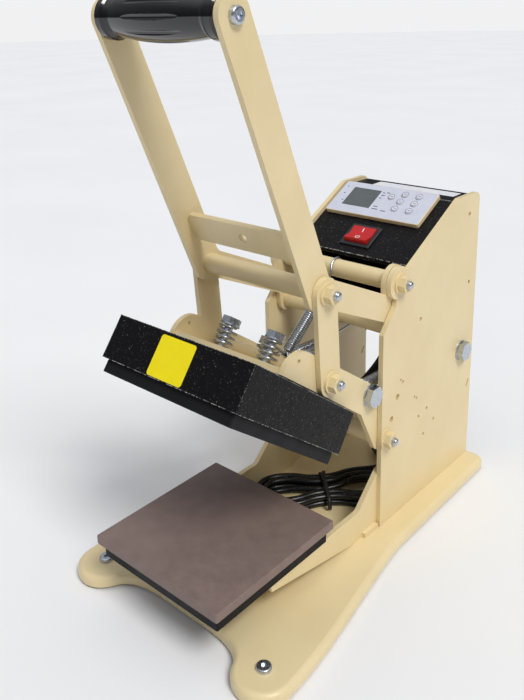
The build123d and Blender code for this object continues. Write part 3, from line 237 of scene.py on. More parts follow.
def grain(tree, size, detail=3.0, stretch=(1, 1, 1)):
    """Noise whose blotches have a size in metres, longer along an axis whose stretch is small."""
    place = tree.nodes.new("ShaderNodeTexCoord")
    scale = tree.nodes.new("ShaderNodeMapping")
    scale.inputs["Scale"].default_value = stretch
    noise = tree.nodes.new("ShaderNodeTexNoise")
    noise.inputs["Scale"].default_value = 1 / size
    noise.inputs["Detail"].default_value = detail
    tree.links.new(place.outputs["Object"], scale.inputs["Vector"])
    tree.links.new(scale.outputs["Vector"], noise.inputs["Vector"])
    return noise.outputs["Fac"]


def spread(tree, value, low, high, start=0.3, end=0.7):
    """Turn a noise value into a range, straight between start and end."""
    node = tree.nodes.new("ShaderNodeMapRange")
    for socket, number in (("From Min", start), ("From Max", end), ("To Min", low), ("To Max", high)):
        node.inputs[socket].default_value = number
    tree.links.new(value, node.inputs["Value"])
    return node.outputs["Result"]


def blend_tones(tree, value, first, second, start=0.3, end=0.7):
    """Colour that runs from one tone to another as a noise value rises."""
    ramp = tree.nodes.new("ShaderNodeValToRGB")
    ramp.color_ramp.elements[0].position = start
    ramp.color_ramp.elements[0].color = first
    ramp.color_ramp.elements[1].position = end
    ramp.color_ramp.elements[1].color = second
    tree.links.new(value, ramp.inputs["Fac"])
    return ramp.outputs["Color"]


def raise_grain(tree, main, value, strength, depth):
    """Bump the surface by a value; depth is in metres."""
    bump = tree.nodes.new("ShaderNodeBump")
    bump.inputs["Strength"].default_value = strength
    bump.inputs["Distance"].default_value = depth
    tree.links.new(value, bump.inputs["Height"])
    tree.links.new(bump.outputs["Normal"], main.inputs["Normal"])


# %% Cream and black powder coats
def powder_coat(name, light, dark, rough, size, depth, strength, specular=0.5):
    """Coat with broad clouds of tone, uneven gloss and a fine peel."""
    material, tree, main = shader(name, light, rough, specular=specular)
    clouds = grain(tree, 0.06, 4)
    tree.links.new(blend_tones(tree, clouds, dark, light), main.inputs["Base Color"])
    tree.links.new(spread(tree, grain(tree, 0.02, 5), rough - 0.06, rough + 0.08), main.inputs["Roughness"])
    raise_grain(tree, main, grain(tree, size, 3), strength, depth)
    return material


cream = powder_coat("cream_coat", tone(237, 218, 172), tone(230, 210, 163), 0.36, 0.0022, 0.00012, 0.35)


def sum_of(tree, how, first, second):
    """Join two values by a math node."""
    node = tree.nodes.new("ShaderNodeMath")
    node.operation = how
    for socket, value in zip(node.inputs, (first, second)):
        if isinstance(value, (int, float)):
            socket.default_value = value
        else:
            tree.links.new(value, socket)
    return node.outputs[0]


def near_edges(tree, middle, tilt, half, width=0.0007):
    """1 along the edges of a box, tilted about X: there, two of its three distances reach their half size."""
    place = tree.nodes.new("ShaderNodeTexCoord")
    turn = tree.nodes.new("ShaderNodeMapping")
    turn.vector_type = "TEXTURE"
    turn.inputs["Location"].default_value = middle
    turn.inputs["Rotation"].default_value = (tilt, 0, 0)
    apart = tree.nodes.new("ShaderNodeSeparateXYZ")
    tree.links.new(place.outputs["Object"], turn.inputs["Vector"])
    tree.links.new(turn.outputs["Vector"], apart.inputs["Vector"])
    near = []
    for value, size in zip(apart.outputs, half):
        reach = sum_of(tree, "ABSOLUTE", value, 0.0)
        near.append(spread(tree, reach, 0.0, 1.0, size - width, size))
    pairs = [sum_of(tree, "MULTIPLY", near[i], near[j]) for i, j in ((0, 1), (1, 2), (0, 2))]
    return sum_of(tree, "MAXIMUM", sum_of(tree, "MAXIMUM", pairs[0], pairs[1]), pairs[2])


def wrinkle_coat(name, middle, tilt, half):
    """Black wrinkle coat: tight bumps, with painted highlights as pale specks on a few crests and as pale
    dots along the box edges.
    """
    # Painted highlight: the second tone is a pale colour painted where the coat would catch the light.
    black, glint_tone = tone(12, 11, 13), tone(205, 203, 198)
    material, tree, main = shader(name, black, 0.44, specular=0.16)
    # Painted highlight: pale specks on a few crests stand in for glints of light on the wrinkles.
    crest_glints = spread(tree, grain(tree, 0.0012, 2), 0.0, 1.0, 0.67, 0.75)
    edges = near_edges(tree, middle, tilt, half)
    # Painted highlight: pale dots along the box edges stand in for light caught by the edges.
    edge_glint_dots = spread(tree, grain(tree, 0.0016, 3), 0.0, 1.0, 0.44, 0.58)
    edge_glints = sum_of(tree, "MULTIPLY", edges, edge_glint_dots)
    glint_mask = sum_of(tree, "MAXIMUM", sum_of(tree, "MULTIPLY", crest_glints, 0.42), edge_glints)
    tree.links.new(blend_tones(tree, glint_mask, black, glint_tone, 0.0, 1.0), main.inputs["Base Color"])
    tree.links.new(spread(tree, grain(tree, 0.004, 4), 0.36, 0.54), main.inputs["Roughness"])
    raise_grain(tree, main, grain(tree, 0.0014, 4), 0.8, 0.0005)
    return material


cover_wrinkle = wrinkle_coat("cover_wrinkle", cover_middle, -lean, cover_half)
box_half_width, box_depth = 0.0677, 0.05
box_middle = on_slope(0, slope_length / 2, -box_depth)
box_half = (box_half_width, slope_length / 2, box_depth)
box_wrinkle = wrinkle_coat("box_wrinkle", box_middle, slope, box_half)

# %% Metals
def plated(name, light, dark, rough, stretch=(1, 1, 1)):
    """Zinc plate: bright metal with a cloudy, faintly streaked gloss."""
    material, tree, main = shader(name, light, rough, metal=1.0)
    tree.links.new(blend_tones(tree, grain(tree, 0.004, 4, stretch), dark, light), main.inputs["Base Color"])
    gloss = spread(tree, grain(tree, 0.002, 5, stretch), rough - 0.08, rough + 0.12)
    tree.links.new(gloss, main.inputs["Roughness"])
    raise_grain(tree, main, grain(tree, 0.0012, 3, stretch), 0.15, 0.00008)
    return material


zinc = plated("zinc_plate", tone(204, 210, 218), tone(188, 195, 204), 0.28)
wire_zinc = plated("spring_wire", tone(190, 195, 201), tone(170, 176, 184), 0.2)
iron_black = powder_coat("plate_black", tone(26, 26, 30), tone(20, 20, 24), 0.55, 0.0008, 0.00005, 0.3, 0.2)

# %% Rubber, plastics and cloth
def moulded(name, light, dark, rough, size, strength, coat=0.0):
    """Moulded surface: slight clouds and a fine skin."""
    material, tree, main = shader(name, light, rough, coat=coat)
    tree.links.new(blend_tones(tree, grain(tree, 0.012, 4), dark, light), main.inputs["Base Color"])
    tree.links.new(spread(tree, grain(tree, 0.006, 5), rough * 0.8, rough * 1.25), main.inputs["Roughness"])
    raise_grain(tree, main, grain(tree, size, 3), strength, 0.0001)
    return material


silicone = moulded("pad_silicone", tone(137, 118, 111), tone(128, 109, 103), 0.55, 0.0013, 1.0)
gloss_black = moulded("grip_gloss", tone(12, 12, 14), tone(8, 8, 9), 0.1, 0.004, 0.05, coat=0.6)
sheath = moulded("cord_sheath", tone(20, 20, 23), tone(13, 13, 15), 0.3, 0.003, 0.15)
sleeve = moulded("cable_sleeve", tone(26, 26, 29), tone(16, 16, 18), 0.5, 0.0008, 0.8)
black_plastic = moulded("black_plastic", tone(34, 35, 39), tone(27, 28, 31), 0.42, 0.0007, 0.4)
foot_rubber = moulded("foot_rubber", tone(30, 30, 31), tone(22, 22, 23), 0.7, 0.001, 0.5)
red_plastic = moulded("rocker_red", tone(206, 16, 20), tone(192, 10, 15), 0.3, 0.003, 0.08)
case_plastic = moulded("case_plastic", tone(238, 218, 176), tone(229, 207, 163), 0.4, 0.0007, 0.25)
face_film = moulded("face_film", tone(214, 217, 231), tone(206, 210, 225), 0.32, 0.0009, 0.12)
key_film = moulded("key_film", tone(224, 226, 237), tone(214, 217, 230), 0.34, 0.0009, 0.12)
window_film = moulded("window_film", tone(84, 91, 92), tone(76, 83, 84), 0.16, 0.01, 0.03, coat=0.4)
ink = moulded("ink", tone(66, 66, 76), tone(54, 54, 64), 0.5, 0.001, 0.1)
white_ink = moulded("white_ink", tone(248, 246, 244), tone(236, 234, 232), 0.4, 0.001, 0.1)
yellow_film = moulded("yellow_film", tone(254, 236, 8), tone(250, 229, 5), 0.42, 0.002, 0.15)
white_film = moulded("white_film", tone(246, 246, 250), tone(238, 238, 244), 0.36, 0.002, 0.12)
board = moulded("fibre_board", tone(226, 218, 196), tone(206, 196, 170), 0.9, 0.0012, 0.9)

# %% Give every CAD node its finish
finishes = {
    cream: (
        "base_tray side_plate_left side_plate_right support_arm_left support_arm_right platen_bridge "
        "lever_spacer_tube frame_pivot_nuts lever_plate_left lever_plate_right lever_elbow_tube "
        "lever_tail_tube lever_cross_plate link_left link_right link_bolts upper_arm_left "
        "upper_arm_right toggle_tube toggle_nuts arm_pivot_tube mounting_plate"
    ),
    zinc: (
        "lobe_screws frame_pivot_shafts lever_pivot_washers rear_cross_rod rear_rod_bolts grip_screws "
        "toggle_shaft arm_cross_rod arm_rod_bolts platen_bolts"
    ),
    cover_wrinkle: "platen_cover",
    box_wrinkle: "control_cover",
    iron_black: "lower_platen heater_plate",
    silicone: "silicone_pad",
    foot_rubber: "rubber_feet",
    gloss_black: "handle_grip",
    case_plastic: "controller_body",
    window_film: "controller_display",
    black_plastic: "switch_bezel plug strain_reliefs",
    red_plastic: "rocker",
    board: "insulation_board",
    sheath: "mains_cord cord_hank mains_tail",
    sleeve: "heater_cable",
    wire_zinc: "platen_springs lift_spring return_springs",
    key_film: " ".join(f"button_{number}" for number in range(1, 8)),
}
for material, names in finishes.items():
    for name in names.split():
        nodes[name].data.materials.clear()
        nodes[name].data.materials.append(material)
bare = [name for name, node in nodes.items() if not node.data.materials]
print("nodes without a finish", bare)

# %% [markdown]
# ## Two finishes on one piece
#
# Some parts carry two finishes: the link bolts have a painted nut and a bare zinc
# tip, the controller has a printed film on its face, and the plug has metal pins. The
# mesh stays as CAD made it. Only the faces that lie in a given place get the second
# material of the same object.

# %% Choose faces by place
def face_places(node):
    """Middle and outward direction of every face of a node, as two arrays."""
    count = len(node.data.polygons)
    middle, outwards = np.empty(count * 3), np.empty(count * 3)
    node.data.polygons.foreach_get("center", middle)
    node.data.polygons.foreach_get("normal", outwards)
    return middle.reshape(-1, 3), outwards.reshape(-1, 3)


def second_finish(name, material, chosen):
    """Give the chosen faces of a node a second finish."""
    node = nodes[name]
    node.data.materials.append(material)
    node.data.polygons.foreach_set("material_index", np.where(chosen, 1, 0).astype(np.int32))
    print(name, "faces with", material.name, int(chosen.sum()))


link_pivot = np.array((-0.06222, 0.28568))
middle, outwards = face_places(nodes["link_bolts"])
stud_radius = 0.0041
near_axis = np.hypot(middle[:, 1] - link_pivot[0], middle[:, 2] - link_pivot[1]) < stud_radius
second_finish("link_bolts", zinc, near_axis)

# %% Printed face of the controller
middle, outwards = face_places(nodes["controller_body"])
height = (middle - slope_foot) @ slope_out
faces_out = outwards @ slope_out > 0.99
on_top = height > case_thickness - 0.0001
second_finish("controller_body", face_film, faces_out & on_top)

# %% Metal pins of the plug
plug_from = np.array((0.037, 0.1125, 0.0207))
plug_way = np.array((-11.0, 8.0, 0.0))
plug_way /= np.linalg.norm(plug_way)
plug_length = 0.048
middle, outwards = face_places(nodes["plug"])
reach = (middle - plug_from) @ plug_way
second_finish("plug", zinc, reach > plug_length + 0.0002)

# %% [markdown]
# ## Springs
#
# Three kinds of spring are at work: four short compression springs press the heated
# square to its carrier, one long tension spring lifts the arms, and two more pull
# them back. A coil is a circle that climbs as it turns. Its hooks are arcs that leave
# the coil and close round a bar or through an eye. A line through a few places, each
# with its direction, makes both, and a round wire is carried along it.

# %% Draw a line through places and directions
def curved_line(places, ways, steps):
    """Cubic spans between places: each end pulls along its own way, as hard as an arc of that turn would."""
    places, ways = np.array(places, float), np.array(ways, float)
    ways /= np.linalg.norm(ways, axis=1)[:, None]
    chord = places[1:] - places[:-1]
    length = np.linalg.norm(chord, axis=1)
    bend = np.arccos(np.clip((ways[:-1] * ways[1:]).sum(axis=1), -1, 1)) + 1e-6
    pull = (length * 2 * np.tan(bend / 4) / np.sin(bend / 2))[:, None, None]
    share = np.linspace(0, 1, steps, endpoint=False)[None, :, None]
    start, end = places[:-1, None], places[1:, None]
    out, into = ways[:-1, None] * pull, ways[1:, None] * pull
    line = (
        (2 * share**3 - 3 * share**2 + 1) * start
        + (share**3 - 2 * share**2 + share) * out
        + (3 * share**2 - 2 * share**3) * end
        + (share**3 - share**2) * into
    )
    return np.concatenate([line.reshape(-1, 3), places[-1:]])


def coil(origin, first, second, along, radius, pitch, turns):
    """Quarter-turn places of a coil: out by the radius, and on by the pitch for each turn."""
    turn = np.arange(int(4 * turns) + 1)[:, None] * (np.pi / 2)
    out = first * np.cos(turn) + second * np.sin(turn)
    on = second * np.cos(turn) - first * np.sin(turn)
    rise = pitch / (2 * np.pi)
    return origin + out * radius + along * (rise * turn), on * radius + along * rise


# %% The four springs under the bolt heads
bolt_columns = (-0.0265, 0.0265)
bolt_rows = (-0.162, -0.100)
spring_seat = 0.0155
short_radius, short_wire, short_turns = 0.0086, 0.0011, 4
short_pitch = 0.0049
short_coils = []
for x in bolt_columns:
    for back in bolt_rows:
        foot = on_arms(x, back, spring_seat + short_wire + 0.0001)
        places, ways = coil(foot, across, face_back, face_up, short_radius, short_pitch, short_turns)
        short_coils.append(tube("short_coil", curved_line(places, ways, 10), short_wire, 14))
short_springs = joined("short_springs", short_coils)
short_springs.data.materials.append(wire_zinc)
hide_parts("platen_springs")
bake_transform(short_springs)
print("short springs, faces", len(short_springs.data.polygons))


# %% Tension springs
def tension_spring(x, start, end, lead, length, radius, turns, start_ring, end_ring):
    """Hook, lead, coil, lead and hook between two (y, z) points. A start ring of 0 loops through an eye."""
    first, last = np.array((x, *start)), np.array((x, *end))
    along = (last - first) / np.linalg.norm(last - first)
    beside = np.cross(along, across)
    places, ways = [], []
    if start_ring:
        places += [first + beside * start_ring, first - along * start_ring, first - beside * start_ring]
        ways += [-along, -beside, along]
    else:
        eye = first + along * radius
        places += [eye - across * radius, first, eye + across * radius]
        ways += [-along, across, along]
    turned, turned_ways = coil(
        first + along * lead, -beside, across, along, radius, length / turns, turns
    )
    places += list(turned)
    ways += list(turned_ways)
    coil_end = first + along * (lead + length)
    if np.linalg.norm(last - coil_end) > 5 * radius:
        places += [coil_end + along * 1.4 * radius - beside * radius + across * radius * 0.6]
        places += [last - beside * end_ring - along * 1.2 * end_ring]
        ways += [along, along]
    places += [last - beside * end_ring, last + along * end_ring, last + beside * end_ring]
    ways += [along, beside, -along]
    return curved_line(places, ways, 7)


lift_eye = (-0.03631, 0.19315)
tension_wire = 0.001
lift_line = tension_spring(
    0,
    lift_eye,
    lever_pivot[1:],
    lead=0.012,
    length=0.084,
    radius=0.0047,
    turns=40,
    start_ring=0,
    end_ring=0.0103,
)
lift_coil = tube("lift_coil", lift_line, tension_wire, 12)
lift_coil.data.materials.append(wire_zinc)
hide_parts("lift_spring")
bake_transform(lift_coil)

arm_rod, rear_rod = (0.01022, 0.16185), (0.1755, 0.150)
pull_coils = []
for x in (-0.050, 0.050):
    pull_line = tension_spring(
        x,
        arm_rod,
        rear_rod,
        lead=0.016,
        length=0.072,
        radius=0.005,
        turns=34,
        start_ring=0.0083,
        end_ring=0.0083,
    )
    pull_coils.append(tube("pull_coil", pull_line, tension_wire, 12))
pull_springs = joined("pull_springs", pull_coils)
pull_springs.data.materials.append(wire_zinc)
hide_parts("return_springs")
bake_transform(pull_springs)
print("lift coil and pull springs, faces", len(lift_coil.data.polygons), len(pull_springs.data.polygons))

# %% [markdown]
# ## Domed ends of the studs
#
# Every pivot ends in a stud whose tip stands proud of its nut and is rounded over.
# The tip is turned: its radius follows a quarter of an ellipse. Each pair of tips
# rides on the body that its stud belongs to.

# %% Round the stud ends
def stud_tip(x, pivot, radius=0.0037, rise=0.0021):
    """A dome on each side of the press: the radius falls as the root of one minus the height squared."""
    height = np.sin(np.linspace(0, 0.98 * np.pi / 2, 9))
    tips = []
    for side in (1, -1):
        line = np.c_[side * (x + rise * height), np.full(9, pivot[0]), np.full(9, pivot[1])]
        tips.append(tube("tip", line, radius * np.sqrt(1 - height**2), 24))
    return tips


stud_end = 0.0849
toggle = (-0.056934, 0.203848)
for name, pivots, body in (
    ("frame_tips", (tuple(arm_pivot[1:]), tuple(lever_pivot[1:])), "frame"),
    ("link_tips", (tuple(link_pivot),), "links"),
    ("toggle_tips", (toggle,), "arms"),
):
    tips = joined(name, [tip for pivot in pivots for tip in stud_tip(stud_end, pivot)])
    tips.data.materials.append(zinc)
    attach(tips, body)
    print(name, "faces", len(tips.data.polygons))

# %% [markdown]
# ## Cords
#
# The mains lead drops from its grommet behind the linkage, runs into a hank that is
# folded to and fro on the base, and ends in its plug beside it. It is one length of
# round rubber, so it is one smooth spline: the points below steer it, and the spline
# rounds off every corner by itself. The hank is eight runs, each drawn in at the waist
# by its tie, with a round turn between one run and the next.

# %% Route of the mains lead
cord_radius = 0.00325
grommet_end = 0.195
hank_middle = np.array((0.0, 0.0295, 0.0))
hank_turn = math.radians(48)
hank_along = np.array((math.cos(hank_turn), math.sin(hank_turn), 0))
hank_beside = np.array((-math.sin(hank_turn), math.cos(hank_turn), 0))
hank_runs, hank_inner, hank_step = 8, 0.012, 0.0078
hank_low, hank_high = 0.01605, 0.02315
run_reach = 0.046
waist_draw = 0.008


def in_hank(along, beside, height):
    """A point given along and beside the axis of the hank."""
    return hank_middle + hank_along * along + hank_beside * beside + np.array((0, 0, height))


def hank_points():
    """Points of the hank: four for each run, and four round each turn, on the sides of half an octagon."""
    corner = math.tan(math.pi / 8)
    points = []
    for run in range(hank_runs):
        side = 1 if run % 2 == 0 else -1
        half = hank_inner + abs(hank_runs // 2 - run) * hank_step / 2
        after = hank_inner + abs(hank_runs // 2 - run - 1) * hank_step / 2
        start = hank_high if run <= hank_runs // 2 else hank_low
        end = hank_high if run < hank_runs // 2 else hank_low
        waist = (start + end) / 2
        steps = ((-0.031, 0, start), (-0.013, waist_draw, waist), (0.013, waist_draw, waist), (0.031, 0, end))
        points += [in_hank(-side * along, side * (half - draw), z) for along, draw, z in steps]
        if run < hank_runs - 1:
            shift, reach = side * (half - after) / 2, (half + after) / 2
            turn = ((corner, 1), (1, corner), (1, -corner), (corner, -1))
            points += [
                in_hank(-side * (run_reach + out * reach), shift + side * over * reach, end)
                for out, over in turn
            ]
    return points


lead_points = [
    (0.0, 0.1525, grommet_end),
    (0.0, 0.1525, 0.176),
    (0.001, 0.1455, 0.156),
    (0.004, 0.1355, 0.132),
    (0.010, 0.1265, 0.108),
    (0.017, 0.1215, 0.086),
    (0.024, 0.1185, 0.067),
    (0.0295, 0.115, 0.051),
    (0.0315, 0.1095, 0.0375),
    (0.0285, 0.1025, 0.0275),
    tuple(in_hank(0.0635, 0.0276, hank_high)),
]
tail_points = [
    tuple(in_hank(0.0615, -0.0237, hank_low)),
    (0.062, 0.0695, 0.01625),
    (0.0615, 0.0825, 0.017),
    (0.0565, 0.0945, 0.0185),
    (0.048, 0.1045, 0.0207),
    (0.037, 0.1125, 0.0207),
]


# %% Make a cord from its route
def cord_curve(name, points, radius):
    """A round cord on one spline of order 3, which starts and ends on its first and last point."""
    curve = bpy.data.curves.new(name, "CURVE")
    curve.dimensions = "3D"
    curve.bevel_depth = radius
    curve.bevel_resolution = 5
    curve.resolution_u = 8
    curve.use_fill_caps = True
    spline = curve.splines.new("NURBS")
    spline.points.add(len(points) - 1)
    spline.points.foreach_set("co", np.c_[np.array(points), np.ones(len(points))].ravel())
    spline.order_u = 3
    spline.use_endpoint_u = True
    piece = bpy.data.objects.new(name, curve)
    bpy.context.scene.collection.objects.link(piece)
    return piece


def spline_line(piece):
    """Points along a cord's spline, read from the same curve without its thickness."""
    thin = piece.copy()
    thin.data = piece.data.copy()
    thin.data.bevel_depth = 0
    mesh = bpy.data.meshes.new_from_object(thin)
    flat = np.empty(len(mesh.vertices) * 3)
    mesh.vertices.foreach_get("co", flat)
    bpy.data.meshes.remove(mesh)
    bpy.data.objects.remove(thin)
    return flat.reshape(-1, 3)


mains_lead = cord_curve("mains_lead", lead_points + hank_points() + tail_points, cord_radius)
mains_lead.data.materials.append(sheath)
mains_line = spline_line(mains_lead)
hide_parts("mains_cord", "cord_hank", "mains_tail")
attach(mains_lead, "frame")

# %% [markdown]
# The hank is held by a short twist tie round its waist. It is a flat strip, so its
# profile is a thin oval, carried round an oval line that hugs the runs, and its two
# ends are twisted together on top.

# %% Twist tie
turn = np.linspace(0, 2 * np.pi, 48, endpoint=False)
tie_half = 0.0265
tie_middle = (hank_low + hank_high) / 2
tie_thick = 0.0062 + cord_radius


def tie_ring(out, along):
    """An oval round the waist: out is the strip's own thickness, along its place on the axis."""
    shape = np.sign(np.cos(turn)) * np.abs(np.cos(turn)) ** 0.55
    rise = np.sign(np.sin(turn)) * np.abs(np.sin(turn)) ** 0.75
    beside = (tie_half + out) * shape
    height = tie_middle + (tie_thick + out) * rise
    return in_hank(0, 0, 0) + hank_along * along + hank_beside * beside[:, None] + np.c_[
        np.zeros_like(height), np.zeros_like(height), height
    ]


strip = [(0.0, -0.0020), (0.0007, -0.0022), (0.0007, 0.0022), (0.0, 0.0020)]
rings = np.stack([tie_ring(out, along) for out, along in strip], axis=0)
index = np.arange(4 * 48).reshape(4, 48)
beside = np.roll(index, -1, axis=1)
quads = np.stack([index, beside, np.roll(beside, -1, axis=0), np.roll(index, -1, axis=0)], axis=-1)
tie = add_piece("twist_tie", rings.reshape(-1, 3), quads.reshape(-1, 4).tolist())
knot_turn = np.linspace(0, 5 * np.pi, 60)
knot_up = np.linspace(0, 0.011, 60)
knots = []
for start in (0, np.pi):
    knot = (
        in_hank(0, 0, tie_middle + tie_thick + 0.0004)
        + hank_along * (0.0011 * np.cos(knot_turn + start))[:, None]
        + hank_beside * (0.0011 * np.sin(knot_turn + start) + knot_up * 0.7)[:, None]
        + np.c_[np.zeros(60), np.zeros(60), knot_up * 0.8]
    )
    knots.append(tube("knot", knot, 0.0008, 8))
twist_tie = joined("cord_tie", [tie, *knots])
twist_tie.data.materials.append(black_plastic)
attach(twist_tie, "frame")

# %% Sleeved cable to the heated square
cable_radius = 0.0045
gland_end = on_arms(0.025, -0.077, -0.009)
cable_points = [
    (0.025, 0.1155, grommet_end),
    (0.025, 0.1155, 0.179),
    (0.025, 0.1065, 0.163),
    (0.025, 0.0875, 0.150),
    (0.025, 0.0675, 0.143),
    (0.025, 0.0475, 0.137),
    (0.025, 0.0275, 0.133),
    (0.025, 0.0085, 0.130),
    (0.025, -0.0085, 0.131),
    tuple(gland_end + face_back * 0.016),
    tuple(gland_end),
]
guide = cord_curve("cable_guide", cable_points, cable_radius)
cable_line = spline_line(guide)
bpy.data.objects.remove(guide)
heater_lead = tube("heater_lead", cable_line, cable_radius, 18)
heater_lead.data.materials.append(sleeve)
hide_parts("heater_cable")
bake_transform(heater_lead)

# %% [markdown]
# Where a cord meets a housing, a ribbed rubber sleeve keeps it from kinking. The
# photograph doesn't show these places, so the sleeves are of the usual kind. Each one
# follows the cord's own line: its radius falls from the neck to the cord, and dips
# between ribs. The two under the control box stay with the frame, and the one behind
# the hot cover swings with the arms.

# %% Ribbed sleeves on the two cords
def relief_sleeve(line, wide, narrow, length=0.024, stations=49):
    """Radius: wide + (narrow - wide) * t, less a cosine dip for each rib, t from 0 to 1 along the line."""
    steps = np.linalg.norm(np.diff(line, axis=0), axis=1)
    reach = np.concatenate([[0.0], np.cumsum(steps)])
    share = np.linspace(0, 1, stations)
    centres = np.stack([np.interp(share * length, reach, line[:, axis]) for axis in range(3)], axis=1)
    dip = 0.00045 * (0.5 - 0.5 * np.cos(share * 2 * np.pi * 7))
    return tube("relief", centres, wide + (narrow - wide) * share - dip, 28)


into_grommet = np.array((0, 0, 0.0005))
reliefs = joined(
    "relief_sleeves",
    [
        relief_sleeve(np.vstack([mains_line[0] + into_grommet, mains_line]), 0.0056, 0.0042),
        relief_sleeve(np.vstack([cable_line[0] + into_grommet, cable_line]), 0.0062, 0.0053),
    ],
)
cover_relief = relief_sleeve(cable_line[::-1], 0.0062, 0.0053, length=0.022)
cover_relief.name = "cover_relief"
for piece, body in ((reliefs, "frame"), (cover_relief, "arms")):
    piece.data.materials.append(black_plastic)
    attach(piece, body)
print("sleeves, faces", len(reliefs.data.polygons), len(cover_relief.data.polygons))

# %% [markdown]
# ## Decals and marks
#
# Bare decals stand where the real press has its labels: a yellow one on the front of
# the hot cover and a white strip on top of the control box. Each is a thin plate with
# round corners. The face of the controller has ruled rings round its keys and short
# strokes beside the window, and the rocker has the usual line and ring.

# %% Thin plates with round corners
def thin_plate(name, origin, right, up, width, height, thickness, corner):
    """A rounded rectangle, raised by its thickness, with a narrow chamfer round its top."""
    turn = np.linspace(0, 2 * np.pi, 33)[:-1] + np.pi / 32
    quarter = np.sign(np.c_[np.cos(turn), np.sin(turn)])
    round_part = np.c_[np.cos(turn), np.sin(turn)]
    outline = quarter * (np.array((width, height)) / 2 - corner) + round_part * corner
    inset = outline - round_part * min(corner, thickness) * 0.5
    out = np.cross(right, up)
    rings = [
        origin + flat[:, :1] * right + flat[:, 1:] * up + out * above
        for flat, above in ((outline, 0.0), (outline, thickness * 0.6), (inset, thickness))
    ]
    return wrapped(name, np.stack(rings), smooth=False)


def thin_ring(name, origin, right, up, outer, inner, thickness):
    """A flat ring: four circles, outer and inner, low and high, joined round."""
    turn = np.linspace(0, 2 * np.pi, 40, endpoint=False)
    flat = np.cos(turn)[:, None] * right + np.sin(turn)[:, None] * up
    out = np.cross(right, up)
    rings = np.stack(
        [
            origin + flat * reach + out * above
            for reach, above in ((outer, 0.0), (outer, thickness), (inner, thickness), (inner, 0.0))
        ]
    )
    index = np.arange(4 * 40).reshape(4, 40)
    over = np.roll(index, -1, axis=1)
    quads = np.stack([index, over, np.roll(over, -1, axis=0), np.roll(index, -1, axis=0)], axis=-1)
    return add_piece(name, rings.reshape(-1, 3), quads.reshape(-1, 4).tolist(), smooth=False)


def dress(piece, material, body):
    """Give a piece its finish and the body that carries it."""
    piece.data.materials.append(material)
    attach(piece, body)
    return piece


# %% Yellow decal and white strip
cover_front = -0.24
yellow_place = on_arms(-0.0018, cover_front, -0.0125)
yellow = thin_plate(
    "yellow_decal",
    yellow_place,
    across,
    face_up,
    width=0.0405,
    height=0.035,
    thickness=0.00025,
    corner=0.0028,
)
dress(yellow, yellow_film, "heated_square")
strip_place = np.array((0.006, 0.1845, 0.3181))
rearwards = np.array((0, 1.0, 0))
strip_plate = thin_plate(
    "white_strip",
    strip_place,
    across,
    rearwards,
    width=0.100,
    height=0.017,
    thickness=0.0003,
    corner=0.001,
)
dress(strip_plate, white_film, "frame")

# %% Marks on the controller and the rocker
key_places = [(x, up) for up in (0.0905, 0.079, 0.0675) for x in (0.015, 0.032)] + [(0.002, 0.084)]
key_rise, ink_depth = 0.0012, 0.00008
key_top = case_thickness + key_rise
for number, (x, up) in enumerate(key_places, start=1):
    place = on_slope(x, up, key_top)
    ring = thin_ring(f"key_ring_{number}", place, across, slope_up, 0.0036, 0.0032, ink_depth)
    bar = thin_plate(f"bar_{number}", place, across, slope_up, 0.003, 0.0006, ink_depth, 0.0002)
    dress(joined(f"key_mark_{number}", [ring, bar]), ink, f"key_{number}")

strokes = []
for x, up, width in (
    (-0.0105, 0.0885, 0.003), (-0.0055, 0.0895, 0.004), (-0.0095, 0.0845, 0.0045), (-0.0105, 0.080, 0.003),
    (-0.0085, 0.0665, 0.005), (-0.0075, 0.0625, 0.007), (0.0035, 0.0615, 0.006), (-0.058, 0.0905, 0.002),
    (-0.0565, 0.0795, 0.002), (-0.0525, 0.0685, 0.002),
):
    place = on_slope(x, up, case_thickness)
    strokes.append(thin_plate("stroke", place, across, slope_up, width, 0.0011, ink_depth, 0.0003))
dress(joined("controller_marks", strokes), ink, "frame")

# %% Line and ring on the two halves of the rocker
rocker_x, rocker_up = -0.0025, 0.025
rocker_height, rocker_crown, rocker_dip = 0.0224, 0.0052, 0.0026
rocker_throw = math.radians(12)
mark_reach, mark_lift = 0.0058, 0.00002
rocker_middle = on_slope(rocker_x, rocker_up)
rocker_tilt = slope - rocker_throw / 2
half_tilt = math.atan2(2 * rocker_crown - 2 * rocker_dip, rocker_height)
rocker_out = np.array((0, -math.sin(rocker_tilt), math.cos(rocker_tilt)))


def on_rocker(side):
    """Place of a mark on the lower (-1) or upper (1) half of the rocker, and the way up that half."""
    turned = rocker_tilt + side * half_tilt
    up = np.array((0, math.cos(turned), math.sin(turned)))
    out = np.array((0, -math.sin(turned), math.cos(turned)))
    return rocker_middle + rocker_out * rocker_dip + up * side * mark_reach + out * mark_lift, up


place, up = on_rocker(1)
line_mark = thin_plate("line_mark", place, across, up, 0.0011, 0.0052, ink_depth, 0.0003)
place, up = on_rocker(-1)
ring_mark = thin_ring("ring_mark", place, across, up, 0.0027, 0.0018, ink_depth)
dress(joined("rocker_marks", [line_mark, ring_mark]), white_ink, "power_rocker")

# %% [markdown]
# ## Floor and light
#
# The press stands on a wide pale floor. The light of the photograph comes from above
# and from the right: tops are the lightest, right sides are next, and fronts are the
# darkest. One broad sun does this. The sky is bright overhead and dim near the
# horizon, which gives the zinc its dark streaks, but the camera sees it plain and pale.

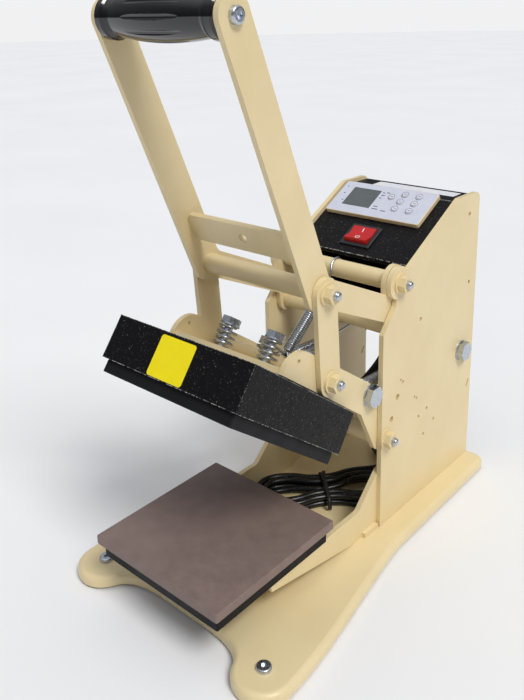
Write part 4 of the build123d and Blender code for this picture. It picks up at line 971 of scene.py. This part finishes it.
# %% Wide floor
turn = np.linspace(0, 2 * np.pi, 96, endpoint=False)
reaches = np.array((0.001, 0.5, 1.5, 4.0, 14.0))
ring = np.stack([np.cos(turn), np.sin(turn), np.zeros_like(turn)], axis=1)
disc = reaches[:, None, None] * ring[None] - np.array((0, 0, 0.0003))
disc_faces = [face[::-1] for face in grid_faces(len(reaches), len(turn))] + [list(range(len(turn)))]
floor = add_piece("floor", disc.reshape(-1, 3), disc_faces, smooth=False)
floor_paint, tree, main = shader("floor_paint", tone(243, 243, 244), 0.8, specular=0.2)
floor_clouds = blend_tones(tree, grain(tree, 0.5, 3), tone(241, 241, 242), tone(245, 245, 246))
tree.links.new(floor_clouds, main.inputs["Base Color"])
floor.data.materials.append(floor_paint)

# %% Sun and sky
sun = bpy.data.lights.new("sun", "SUN")
sun.energy = 1.8
sun.angle = math.radians(22)
sun.color = (1.0, 0.985, 0.96)
sun_lamp = bpy.data.objects.new("sun", sun)
bpy.context.scene.collection.objects.link(sun_lamp)
sun_lamp.rotation_mode = "QUATERNION"
sun_lamp.rotation_quaternion = Vector((-1.0, 0.28, -1.3)).to_track_quat("-Z", "Y")

world = bpy.data.worlds.new("studio")
world.use_nodes = True
sky = world.node_tree
sky_light = sky.nodes["Background"]
upwards = sky.nodes.new("ShaderNodeTexCoord")
height = sky.nodes.new("ShaderNodeSeparateXYZ")
sky.links.new(upwards.outputs["Generated"], height.inputs["Vector"])
dome = sky.nodes.new("ShaderNodeValToRGB")
dome.color_ramp.elements[0].position = 0.0
dome.color_ramp.elements[0].color = (0.07, 0.073, 0.08, 1)
dome.color_ramp.elements[1].position = 1.0
dome.color_ramp.elements[1].color = (0.92, 0.95, 1.0, 1)
middle_stop = dome.color_ramp.elements.new(0.45)
middle_stop.color = (0.2, 0.205, 0.22, 1)
sky.links.new(height.outputs["Z"], dome.inputs["Fac"])
sky.links.new(dome.outputs["Color"], sky_light.inputs["Color"])
plain = sky.nodes.new("ShaderNodeBackground")
plain.inputs["Color"].default_value = (0.88, 0.88, 0.89, 1)
chooser = sky.nodes.new("ShaderNodeMixShader")
path = sky.nodes.new("ShaderNodeLightPath")
sky.links.new(path.outputs["Is Camera Ray"], chooser.inputs["Fac"])
sky.links.new(sky_light.outputs["Background"], chooser.inputs[1])
sky.links.new(plain.outputs["Background"], chooser.inputs[2])
sky.links.new(chooser.outputs["Shader"], sky.nodes["World Output"].inputs["Surface"])
bpy.context.scene.world = world
bpy.context.scene.view_settings.view_transform = "Standard"
